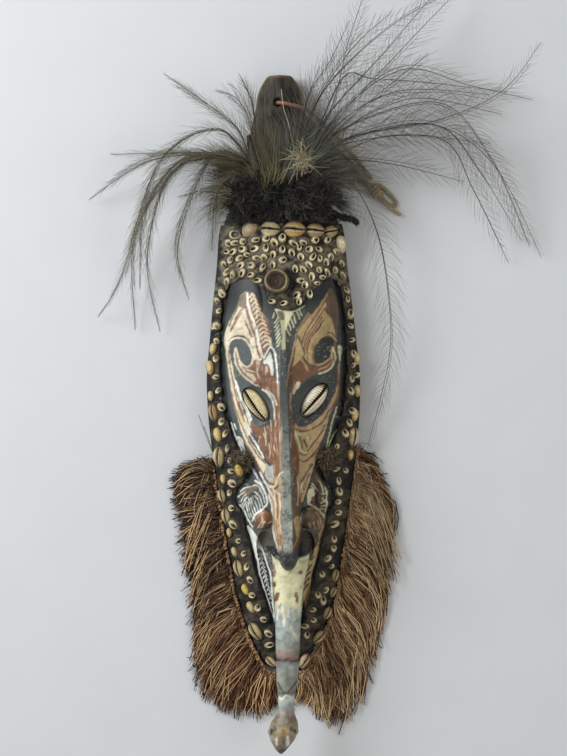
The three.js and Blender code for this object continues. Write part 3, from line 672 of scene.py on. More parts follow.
class Tree:
    """A Geometry Nodes tree with named inputs."""

    def __init__(self, name: str, inputs: dict[str, str]) -> None:
        """Starts a tree.

        Args:
            name: the tree's name.
            inputs: each input's kind of socket, by its name.
        """
        self.tree = bpy.data.node_groups.new(name, "GeometryNodeTree")
        faces = self.tree.interface
        faces.new_socket("Geometry", in_out="OUTPUT", socket_type="NodeSocketGeometry")
        faces.new_socket("Geometry", in_out="INPUT", socket_type="NodeSocketGeometry")
        for title, kind in inputs.items():
            faces.new_socket(title, in_out="INPUT", socket_type=kind)
        self.start = self.add("NodeGroupInput").outputs

    def add(self, kind: str, settings: dict | None = None, links: dict | None = None) -> bpy.types.Node:
        """Adds a node to the tree, as add_node does."""
        return add_node(self.tree, kind, settings, links)

    def finish(self, geometry: bpy.types.NodeSocket) -> None:
        """Ends the tree by making its instances real and giving them their material."""
        real = self.add("GeometryNodeRealizeInstances", links={"Geometry": geometry})
        dressed = self.add("GeometryNodeSetMaterial",
                           links={"Geometry": real.outputs[0], "Material": self.start["Finish"]})
        self.add("NodeGroupOutput", links={"Geometry": dressed.outputs[0]})

    def grow(self, piece: bpy.types.Object, values: dict) -> bpy.types.Object:
        """Runs the tree on a piece.

        Args:
            piece: the object that it starts from, which becomes the result.
            values: what each named input gets.

        Returns:
            The same object, as plain mesh.
        """
        step = piece.modifiers.new(self.tree.name, "NODES")
        step.node_group = self.tree
        for item in self.tree.interface.items_tree:
            if item.in_out == "INPUT" and item.name in values:
                step[item.identifier] = values[item.name]
        settle(piece)
        piece.data.polygons.foreach_set("use_smooth", [True] * len(piece.data.polygons))
        return piece


def strand_tree() -> Tree:
    """Builds the tree that spins lines of points into thin closed strands.

    Returns:
        The tree, with inputs Sides and Finish; the lines' own thick attribute gives each point's radius.
    """
    tree = Tree("spun_strands", {"Sides": "NodeSocketInt", "Finish": "NodeSocketMaterial"})
    lines = tree.add("GeometryNodeMeshToCurve", links={"Mesh": tree.start["Geometry"]})
    thick = tree.add("GeometryNodeInputNamedAttribute", {"data_type": "FLOAT", "Name": "thick"})
    ring = tree.add("GeometryNodeCurvePrimitiveCircle", {"Radius": 1.0}, {"Resolution": tree.start["Sides"]})
    spun = tree.add("GeometryNodeCurveToMesh", {"Fill Caps": True},
                    {"Curve": lines.outputs[0], "Profile Curve": ring.outputs[0], "Scale": thick.outputs[0]})
    tree.finish(spun.outputs[0])
    return tree


def setting_tree() -> Tree:
    """Builds the tree that sets a copy of one shape on each point.

    Returns:
        The tree, with inputs Shape and Finish; the points' own turn and size attributes place each copy.
    """
    tree = Tree("set_shapes", {"Shape": "NodeSocketObject", "Finish": "NodeSocketMaterial"})
    shape = tree.add("GeometryNodeObjectInfo", links={"Object": tree.start["Shape"]})
    turn = tree.add("GeometryNodeInputNamedAttribute", {"data_type": "FLOAT_VECTOR", "Name": "turn"})
    size = tree.add("GeometryNodeInputNamedAttribute", {"data_type": "FLOAT_VECTOR", "Name": "size"})
    euler = tree.add("FunctionNodeEulerToRotation", links={"Euler": turn.outputs["Attribute"]})
    placed = tree.add("GeometryNodeInstanceOnPoints",
                      links={"Points": tree.start["Geometry"], "Instance": shape.outputs["Geometry"],
                             "Rotation": euler.outputs[0], "Scale": size.outputs["Attribute"]})
    tree.finish(placed.outputs[0])
    return tree


@dataclass
class Strands:
    """Thin strands of hair, barb or fibre, gathered before they are spun."""

    batches: list = field(default_factory=list)

    def add(self, lines: np.ndarray, thick: np.ndarray | Sequence, tone: np.ndarray) -> None:
        """Adds strands that all have the same number of points.

        Args:
            lines: places, by strand, point and axis, in millimetres.
            thick: radii in millimetres, which fit strand by point.
            tone: linear colours, which fit strand by point by colour.
        """
        shape = lines.shape[:2]
        self.batches.append((lines, np.broadcast_to(thick, shape), np.broadcast_to(tone, (*shape, 3))))

    def spun(self, name: str, finish: Finish, tree: Tree, sides: int = 3) -> bpy.types.Object:
        """Spins all the strands into one piece.

        Args:
            name: the piece's name.
            finish: what it is finished in.
            tree: the tree that spins.
            sides: how many sides a strand has.

        Returns:
            The piece.
        """
        points, thick, tone, edges, start = [], [], [], [], 0
        for lines, radii, colours in self.batches:
            count, steps = lines.shape[:2]
            first = start + np.arange(count)[:, None] * steps + np.arange(steps - 1)
            edges.append(np.stack([first, first + 1], axis=-1).reshape(-1, 2))
            points.append(lines.reshape(-1, 3))
            thick.append(radii.reshape(-1))
            tone.append(colours.reshape(-1, 3))
            start += count * steps
        mesh = new_mesh(name, np.vstack(points), np.vstack(edges).tolist())
        radius = mesh.attributes.new("thick", "FLOAT", "POINT")
        radius.data.foreach_set("value", (np.concatenate(thick) * MM).astype(np.float32))
        paint(mesh, np.vstack(tone))
        return tree.grow(new_object(name, mesh), {"Sides": sides, "Finish": finish.material()})


def set_copies(name: str, places: np.ndarray, turns: Sequence, sizes: Sequence, shape: bpy.types.Object,
               finish: Finish, tree: Tree) -> bpy.types.Object:
    """Sets copies of a shape, and removes the shape.

    Args:
        name: the piece's name.
        places: where the copies go, in millimetres.
        turns: their turns, as three angles each.
        sizes: their sizes, three each.
        shape: what is copied.
        finish: what it is finished in.
        tree: the tree that sets it.

    Returns:
        The piece.
    """
    mesh = new_mesh(name, places)
    for title, values in (("turn", turns), ("size", sizes)):
        layer = mesh.attributes.new(title, "FLOAT_VECTOR", "POINT")
        layer.data.foreach_set("vector", np.array(values, np.float32).ravel())
    piece = tree.grow(new_object(name, mesh), {"Shape": shape, "Finish": finish.material()})
    bpy.data.objects.remove(shape)
    return piece


# The carved surface


@dataclass(frozen=True)
class Spot:
    """A round swelling or hollow on the face."""

    across: float
    along: float
    width: float
    length: float
    rise: float


@dataclass(frozen=True)
class Eye:
    """An eye's place, turn in degrees and shell length."""

    across: float
    along: float
    turn: float
    length: float


@dataclass
class Relief:
    """The mask's carved heights, as functions of place across and along."""

    tab_lift: float = 6.0
    plate_rise: float = 6.0
    plate_shoulder: float = 3.5
    groove_depth: float = 3.5
    groove_width: float = 1.9
    paste_rise: float = 2.0
    paste_inset: float = 3.8
    cheek_fall: float = 4.0
    hollow_foot: float = 132.0
    hollow_top: float = 484.0
    eyes: tuple[Eye, ...] = (Eye(-25, 330.6, 37, 36), Eye(27.5, 334, -40, 38))
    eye_hollow: Spot = Spot(0, 0, 15, 20, -5)
    pairs: tuple[Spot, ...] = (
        Spot(22.5, 223, 9.5, 10.5, 11), Spot(19, 196, 8.5, 15, -9), Spot(37, 243, 8, 16, 4),
        Spot(36, 425, 17, 30, 2.5),
    )
    ear_lumps: tuple[Spot, ...] = (Spot(-41, 277, 9.5, 9.5, 10), Spot(42.5, 279, 10.5, 10.5, 12))

    def __post_init__(self) -> None:
        """Makes the sizes that change along the mask."""
        self.board_half = profile([
            (76, 13), (80, 18), (90, 24.5), (106, 31.5), (144, 43.5), (182, 50.5), (220, 56.5), (268, 63.5),
            (296, 67.5), (325, 70), (353, 70.8), (391, 67.5), (439, 62.5), (466, 59.5), (491, 57.5),
            (505, 54.5), (522, 47), (545, 37), (572, 32.3), (591, 28.5), (610, 24.2), (629, 20.4),
            (638, 16),
            (643, 12.5), (645, 10.5),
        ])
        self.face_half = profile([
            (112, 9.5), (123.5, 11.8), (133, 13.5), (147, 18), (163.5, 23.5), (184, 28.8), (201, 31.7),
            (214, 35.5), (222, 36.5), (229, 38.5), (236, 43.5), (247, 43.5), (257, 36.5), (264, 33),
            (272, 31.5), (280, 35), (291, 42.5), (311, 49.5), (322, 53), (347, 56), (370, 57.3), (395, 57),
            (415, 56), (427.5, 54), (447, 50), (475, 46), (500, 40),
        ])
        self.crown = profile([
            (76, 13), (100, 20), (124, 27), (150, 33), (180, 38), (214, 43), (250, 47), (300, 50),
            (350, 51),
            (400, 50), (440, 46), (475, 41), (500, 36), (520, 31), (545, 28), (600, 27), (645, 24),
        ])
        self.rim = profile([
            (76, 7), (110, 9), (180, 11), (300, 13), (440, 13), (500, 14), (530, 15), (560, 20), (645, 18),
        ])
        self.nose_rise = profile([
            (172, 0), (174, 13), (176, 21), (179.5, 29), (184, 32), (195, 33), (215, 29), (250, 22),
            (300, 14),
            (350, 8), (390, 3), (405, 0),
        ])
        self.nose_foot = profile([
            (172, 3), (176, 8), (179.5, 10), (184, 11), (200, 13), (214, 14.5), (233, 16), (250, 16),
            (300, 13),
            (350, 10), (380, 8), (405, 5),
        ])
        self.paste_hem = profile([
            (-64, 425), (-58, 432), (-50, 445), (-36, 449.5), (-19, 439), (-12, 426.5), (-7, 421.8),
            (2.4, 419.4), (14, 421.8), (20.5, 427.5), (25, 434.6), (33, 441), (41, 446.5), (49, 449),
            (56, 441), (64, 430),
        ])

    def sway(self, along: np.ndarray) -> np.ndarray:
        """Gives how far the nose leans to the right."""
        return 2.8 * smooth((330 - along) / 150) * smooth((along - 120) / 40)

    def arch(self, across: np.ndarray, along: np.ndarray) -> np.ndarray:
        """Gives the board's own height, which is a ridge with two facets on the tab."""
        share = np.clip(np.abs(across) / self.board_half(along), 0, 1)
        rim = self.rim(along)
        sharpness = 2.3 - 0.9 * smooth((along - 525) / 40)
        return rim + (self.crown(along) - rim) * (1 - share**sharpness)

    @staticmethod
    def dome(across: np.ndarray, along: np.ndarray, spot: Spot) -> np.ndarray:
        """Gives a round swelling's height, from 0 to 1."""
        reach = ((across - spot.across) / spot.width) ** 2 + ((along - spot.along) / spot.length) ** 2
        return np.sqrt(np.clip(1 - reach, 0, 1))

    def wood(self, across: np.ndarray, along: np.ndarray) -> np.ndarray:
        """Gives the carved wood's height."""
        inside = self.face_half(along) - np.abs(across)
        ends = smooth((along - 112) / 14) * smooth((476 - along) / 30)
        groove = np.exp(-(((inside + 2) / self.groove_width) ** 2))
        plate = ends * (self.plate_rise * smooth(inside / self.plate_shoulder) - self.groove_depth * groove)
        off = np.abs(across - self.sway(along))
        foot = self.nose_foot(along)
        nose = self.nose_rise(along) * (1 - smooth((off - 0.3 * foot) / (0.7 * foot)))
        cheek = self.cheek_fall * smooth((300 - along) / 60) * smooth((np.abs(across) - 12) / 20)
        height = self.arch(across, along) + plate + nose - cheek * smooth(inside / 4)
        for eye in self.eyes:
            bowl = Spot(eye.across, eye.along, self.eye_hollow.width, self.eye_hollow.length, 0)
            height = height + self.eye_hollow.rise * self.dome(across, along, bowl) ** 2
        for spot in self.pairs:
            for side in (-1, 1):
                there = Spot(side * spot.across, spot.along, spot.width, spot.length, 0)
                height = height + spot.rise * self.dome(across, along, there)
        return height

    def paste(self, across: np.ndarray, along: np.ndarray) -> np.ndarray:
        """Gives the paste's height with its two ear lumps."""
        hug = self.arch(across, along) + self.paste_rise
        on_plate = (along > 400) & (np.abs(across) < self.face_half(along) + self.paste_inset)
        height = np.where(on_plate, np.maximum(hug, self.wood(across, along) + 2.2), hug)
        lumps = [spot.rise * self.dome(across, along, spot) for spot in self.ear_lumps]
        return height + np.maximum(*lumps)

    def seat(self, across: float, along: float, turn: float, ground: Callable, lift: float = 0.0,
             level: float = 0.0) -> Matrix:
        """Places a thing on the surface, tipped as the ground is.

        Args:
            across: its place across.
            along: its place along.
            turn: its turn in degrees, seen from above.
            ground: the height that it stands on.
            lift: how far above that it stands.
            level: how far it is turned back to lie level, from 0 to 1.

        Returns:
            The matrix from the thing's own frame, in millimetres.
        """
        step = 3.0
        side = (float(ground(across + step, along)) - float(ground(across - step, along))) / (2 * step)
        ahead = (float(ground(across, along + step)) - float(ground(across, along - step))) / (2 * step)
        normal = Vector((-side * (1 - level), -ahead * (1 - level), 1)).normalized()
        lean = Vector((0, 0, 1)).rotation_difference(normal)
        spot = Vector((across, along, float(ground(across, along)))) + normal * lift
        turned = Matrix.Rotation(math.radians(turn), 4, "Z")
        return Matrix.Translation(spot) @ lean.to_matrix().to_4x4() @ turned


def moved(shell: Shell, matrix: Matrix) -> Shell:
    """Applies a matrix to a body's points."""
    turned = shell.points @ np.array(matrix.to_3x3()).T + np.array(matrix.translation)
    return Shell(turned, shell.faces)


# The photograph as a guide for places on the face


@dataclass(frozen=True)
class Tracing:
    """An enlarged part of the photograph, on which places were read off."""

    left: float
    top: float
    zoom: float
    pixel: float = 0.95
    middle: float = 279.5
    middle_row: float = 73.0
    lean: float = 0.01267
    foot_row: float = 752.0

    def mm(self, points: Points) -> np.ndarray:
        """Turns places on the enlargement into places across and along the mask.

        Args:
            points: pairs of numbers, right and down from the enlargement's corner.

        Returns:
            The places in millimetres.
        """
        spot = np.array(points, float) / self.zoom + (self.left, self.top)
        middle = self.middle + self.lean * (spot[:, 1] - self.middle_row)
        return np.stack([spot[:, 0] - middle, self.foot_row - spot[:, 1]], axis=1) * self.pixel


WHOLE = Tracing(0, 0, 1)
FACE = Tracing(215, 268, 11.2)
BROW = Tracing(215, 170, 11.2)
CHIN = Tracing(215, 520, 6.643)
LOBES = Tracing(225, 275, 14)
CHEEKS = Tracing(230, 380, 14)
NOSE = Tracing(240, 480, 14)
NECK = Tracing(235, 540, 7)


class Paint(Enum):
    """The painter's colours, as they look on the wood."""

    # TAN and RUST, used mostly on the right half, are partly the cream and the brown darkened by painted
    # shade
    SLATE = "#424a49"
    NIGHT = "#17191a"
    MIST = "#b3b7ae"
    DUST = "#7d6c58"
    ASH = "#57564a"
    WHITE = "#eceee4"
    BONE = "#d4d0a8"
    CREAM = "#dfd2b6"
    STRAW = "#b39a6b"
    TAN = "#b0926c"
    YELLOW = "#d0bc63"
    OCHRE = "#5c482d"
    BROWN = "#82593d"
    RUST = "#6e482c"
    UMBER = "#3a2a20"


@dataclass(frozen=True)
class Fill:
    """A painted area, by its outline."""

    paint: Paint
    sheet: Tracing
    outline: Points


@dataclass(frozen=True)
class Stroke:
    """A painted look and the lines that have it, on one sheet."""

    paint: Paint
    width: float
    sheet: Tracing
    lines: Sequence[Points]


FILLS = (
    Fill(Paint.CREAM, LOBES, ((305, 235), (255, 262), (212, 300), (190, 390), (148, 482), (95, 572), (50,
        660), (12, 765), (-8, 860), (-5, 960), (40, 960), (60, 905), (100, 868), (180, 840), (260, 850),
        (320, 895), (352, 950), (385, 1020), (400, 1100), (398, 1190), (440, 1180), (500, 1200), (525,
        1160), (505, 1060), (482, 950), (462, 830), (440, 700), (410, 600), (380, 520), (350, 400), (330,
        300))),
    Fill(Paint.DUST, LOBES, ((305, 238), (255, 265), (212, 300), (195, 395), (225, 450), (290, 450), (308,
        380), (318, 300))),
    Fill(Paint.CREAM, CHEEKS, ((-75, -510), (-55, -370), (-30, -170), (0, 0), (20, 150), (50, 300), (85,
        450), (128, 600), (172, 745), (235, 885), (305, 1015), (385, 1165), (455, 1305), (525, 1445), (600,
        1590), (640, 1680), (680, 1680), (690, 1500), (650, 1480), (560, 1450), (500, 1390), (470, 1300),
        (520, 1180), (490, 1130), (440, 1075), (380, 970), (310, 880), (260, 780), (300, 740), (285, 640),
        (310, 560), (255, 440), (195, 335), (145, 215), (105, 100), (75, 0), (45, -150), (10, -300), (-15,
        -420), (-20, -510))),
    Fill(Paint.BROWN, CHEEKS, ((330, -270), (370, -290), (440, -250), (500, -200), (560, -230), (600, -170),
        (620, -60), (650, 0), (690, 100), (702, 300), (722, 600), (738, 900), (742, 1250), (690, 1300),
        (670, 1390), (625, 1400), (605, 1180), (560, 1150), (510, 1110), (450, 960), (400, 860), (350, 720),
        (310, 600), (400, 645), (500, 645), (600, 570), (622, 400), (590, 290), (540, 205), (440, 105),
        (330, 25), (200, -60), (130, -190), (80, -330), (65, -400), (90, -440), (130, -330), (190, -260),
        (250, -205), (300, -215))),
    Fill(Paint.SLATE, LOBES, ((60, 960), (100, 905), (180, 880), (260, 895), (320, 950), (360, 1040), (378,
        1130), (365, 1215), (315, 1258), (262, 1240), (222, 1180), (190, 1100), (168, 1015), (135, 1060),
        (125, 1120), (60, 1080))),
    Fill(Paint.BROWN, LOBES, ((335, 245), (400, 265), (445, 330), (470, 400), (505, 470), (530, 545), (595,
        600), (612, 690), (622, 790), (645, 900), (662, 985), (600, 1040), (545, 1160), (520, 1160), (505,
        1060), (485, 950), (465, 830), (443, 700), (412, 600), (385, 520), (352, 400), (330, 300))),
    Fill(Paint.WHITE, LOBES, ((540, 1200), (600, 1100), (630, 1080), (660, 1130), (672, 1230), (682, 1330),
        (676, 1400), (655, 1402), (630, 1300), (605, 1245), (560, 1245))),
    Fill(Paint.BONE, LOBES, ((698, 478), (760, 482), (820, 500), (880, 512), (950, 520), (930, 590), (900,
        650), (880, 700), (862, 760), (850, 820), (845, 880), (850, 960), (845, 1040), (822, 1065), (790,
        1060), (785, 1000), (795, 930), (800, 870), (790, 800), (783, 720), (765, 640), (738, 570))),
    Fill(Paint.DUST, LOBES, ((728, 505), (800, 522), (830, 590), (820, 640), (780, 640), (748, 580))),
    Fill(Paint.OCHRE, LOBES, ((1470, 185), (1400, 290), (1330, 390), (1270, 470), (1200, 560), (1100, 680),
        (1010, 800), (985, 850), (965, 950), (945, 1050), (925, 1150), (900, 1260), (880, 1370), (868,
        1480), (862, 1560), (1000, 1560), (1100, 1500), (1190, 1420), (1300, 1400), (1420, 1360), (1500,
        1290), (1545, 1180), (1560, 930), (1575, 800), (1590, 600), (1575, 420), (1530, 260))),
    Fill(Paint.STRAW, LOBES, ((1430, 560), (1480, 600), (1512, 700), (1530, 800), (1545, 860), (1480, 845),
        (1400, 845), (1330, 880), (1275, 940), (1225, 1020), (1200, 1110), (1205, 1200), (1240, 1255),
        (1190, 1250), (1130, 1180), (1095, 1130), (1085, 1050), (1060, 960), (1040, 880), (1010, 830),
        (1100, 700), (1200, 580), (1300, 470), (1390, 390), (1415, 430), (1395, 510))),
    Fill(Paint.NIGHT, LOBES, ((1420, 880), (1350, 900), (1300, 960), (1265, 1040), (1245, 1120), (1250,
        1190), (1290, 1240), (1350, 1238), (1430, 1200), (1485, 1135), (1505, 1060), (1500, 1000), (1530,
        960), (1480, 890))),
    Fill(Paint.RUST, LOBES, ((1505, 1040), (1500, 1110), (1450, 1190), (1380, 1242), (1300, 1280), (1230,
        1290), (1180, 1260), (1130, 1200), (1090, 1160), (1050, 1185), (1010, 1245), (950, 1320), (925,
        1400), (905, 1540), (900, 1600), (1000, 1560), (1100, 1500), (1190, 1420), (1300, 1390), (1400,
        1360), (1480, 1310), (1530, 1230), (1545, 1150), (1520, 1040))),
    Fill(Paint.STRAW, LOBES, ((1020, 870), (1050, 950), (1088, 1050), (1092, 1130), (1050, 1188), (1000,
        1240), (950, 1285), (968, 1150), (985, 1050), (992, 950))),
    Fill(Paint.BONE, LOBES, ((1582, 1000), (1625, 1005), (1640, 1050), (1625, 1150), (1600, 1230), (1590,
        1130))),
    Fill(Paint.RUST, CHEEKS, ((838, 0), (905, 0), (890, 90), (870, 180), (868, 400), (888, 600), (905, 800),
        (950, 930), (965, 1100), (955, 1300), (950, 1460), (930, 1680), (870, 1680), (865, 1400), (855,
        1200), (848, 900), (840, 600), (838, 300))),
    Fill(Paint.CREAM, CHEEKS, ((918, 40), (972, 25), (968, 90), (925, 150), (895, 200), (878, 180), (895,
        110))),
    Fill(Paint.STRAW, CHEEKS, ((905, 600), (935, 645), (1000, 668), (1100, 640), (1200, 578), (1290, 500),
        (1340, 440), (1390, 350), (1440, 260), (1475, 180), (1525, 100), (1530, 200), (1495, 300), (1440,
        400), (1400, 500), (1355, 680), (1295, 850), (1235, 1020), (1185, 1200), (1135, 1380), (1085, 1540),
        (1035, 1680), (925, 1680), (950, 1460), (955, 1300), (965, 1100), (950, 930), (905, 800))),
    Fill(Paint.WHITE, CHEEKS, ((95, 780), (150, 800), (185, 865), (215, 1000), (190, 1052), (150, 960),
        (110, 880))),
    Fill(Paint.MIST, CHEEKS, ((515, 1175), (560, 1200), (602, 1170), (612, 1280), (610, 1380), (570, 1428),
        (520, 1380), (488, 1290))),
    Fill(Paint.TAN, NOSE, ((395, 190), (440, 330), (455, 500), (460, 650), (480, 780), (510, 900), (548,
        1010), (575, 1010), (600, 850), (590, 600), (588, 300), (590, 0), (560, -80), (480, -60), (440,
        0))),
    Fill(Paint.OCHRE, NOSE, ((735, -100), (800, -100), (835, 200), (860, 480), (850, 800), (825, 1000),
        (785, 1060), (735, 900))),
    Fill(Paint.STRAW, NOSE, ((758, 500), (850, 495), (845, 640), (815, 740), (800, 770), (780, 700), (765,
        600))),
    Fill(Paint.SLATE, CHEEKS, ((680, -400), (690, -200), (690, 0), (700, 300), (722, 600), (738, 900), (745,
        1250), (735, 1500), (735, 1700), (735, 2000), (740, 2250), (715, 2400), (740, 2530), (790, 2590),
        (860, 2560), (925, 2480), (875, 2300), (880, 2000), (878, 1700), (862, 1400), (858, 1200), (848,
        900), (838, 600), (832, 300), (820, 0), (800, -200), (790, -400))),
    Fill(Paint.SLATE, NOSE, ((0, 150), (60, 100), (150, 70), (215, 20), (290, 40), (345, 150), (385, 260),
        (385, 315), (325, 385), (250, 435), (200, 500), (165, 580), (130, 575), (90, 500), (55, 430), (-10,
        375), (-40, 320), (-60, 250), (-40, 190))),
    Fill(Paint.DUST, NOSE, ((0, 150), (60, 100), (150, 70), (200, 60), (250, 110), (180, 140), (110, 200),
        (20, 200))),
    Fill(Paint.BROWN, NOSE, ((205, 510), (265, 435), (350, 410), (425, 430), (440, 520), (405, 580), (340,
        655), (255, 672), (195, 630))),
    Fill(Paint.ASH, NOSE, ((215, 680), (330, 660), (400, 585), (460, 600), (475, 760), (500, 900), (540,
        1010), (550, 1100), (480, 1080), (400, 1000), (320, 900), (255, 790))),
    # Under the nose tip: partly dark paste, partly painted shade in the hollow
    Fill(Paint.NIGHT, NOSE, ((340, 880), (430, 930), (500, 905), (548, 1010), (552, 1105), (500, 1100),
        (440, 1040), (380, 960))),
    Fill(Paint.WHITE, NOSE, ((98, 648), (130, 648), (200, 725), (262, 835), (312, 955), (362, 1085), (402,
        1205), (442, 1335), (456, 1560), (488, 1990), (455, 1900), (400, 1750), (345, 1560), (318, 1500),
        (262, 1300), (238, 1150), (198, 1000), (148, 800))),
    Fill(Paint.NIGHT, NOSE, ((235, 960), (300, 985), (345, 1090), (385, 1210), (420, 1340), (435, 1560),
        (465, 1900), (410, 1720), (360, 1560), (335, 1480), (285, 1300), (262, 1150))),
    Fill(Paint.OCHRE, NOSE, ((880, 560), (900, 480), (960, 420), (1050, 410), (1120, 460), (1160, 560),
        (1150, 680), (1110, 760), (1000, 780), (920, 760), (870, 680))),
    Fill(Paint.UMBER, NOSE, ((880, 560), (930, 500), (990, 540), (960, 640), (980, 700), (920, 740), (872,
        680))),
    Fill(Paint.UMBER, NOSE, ((870, 740), (1100, 770), (1100, 880), (1040, 930), (960, 1000), (850, 1060),
        (800, 1060), (850, 900))),
    # Under the nose tip: partly dark paste, partly painted shade in the hollow
    Fill(Paint.NIGHT, NOSE, ((850, 880), (960, 900), (1000, 960), (930, 1040), (830, 1080), (800, 1050))),
    Fill(Paint.BONE, CHIN, ((372, 222), (395, 250), (430, 262), (440, 290), (470, 308), (505, 300), (530,
        275), (560, 250), (600, 240), (635, 220), (640, 240), (625, 300), (605, 360), (595, 430), (585,
        500), (578, 580), (560, 600), (545, 580), (520, 575), (500, 560), (480, 620), (462, 680), (450,
        640), (430, 600), (410, 620), (398, 600), (392, 520), (385, 430), (378, 330), (368, 270))),
    Fill(Paint.DUST, NOSE, ((385, 1000), (440, 1060), (480, 1180), (505, 1290), (470, 1350), (440, 1250),
        (405, 1100))),
    Fill(Paint.STRAW, NOSE, ((1150, 430), (1200, 500), (1205, 560), (1180, 680), (1150, 800), (1115, 900),
        (1110, 980), (1080, 1090), (1040, 1210), (1005, 1330), (985, 1560), (960, 1700), (935, 1860), (900,
        1760), (890, 1560), (905, 1400), (935, 1250), (985, 1080), (1000, 960), (1080, 900), (1100, 780),
        (1140, 690), (1165, 580))),
    Fill(Paint.BONE, NOSE, ((960, 1040), (1000, 1060), (990, 1130), (950, 1175), (938, 1120))),
    Fill(Paint.UMBER, NOSE, ((1010, -80), (1080, -100), (1130, 0), (1200, 100), (1222, 180), (1212, 260),
        (1222, 350), (1200, 440), (1165, 500), (1110, 410), (1040, 380), (980, 345), (945, 300), (930, 240),
        (960, 140), (990, 50))),
    Fill(Paint.BONE, NOSE, ((960, 135), (1010, 120), (1052, 200), (1022, 235), (960, 335), (938, 250))),
    Fill(Paint.RUST, NOSE, ((995, 240), (1040, 235), (1060, 270), (1030, 300), (1000, 290))),
    Fill(Paint.OCHRE, NOSE, ((1060, -90), (1130, 0), (1195, 100), (1205, 170), (1150, 150), (1100, 60),
        (1060, 0))),
)

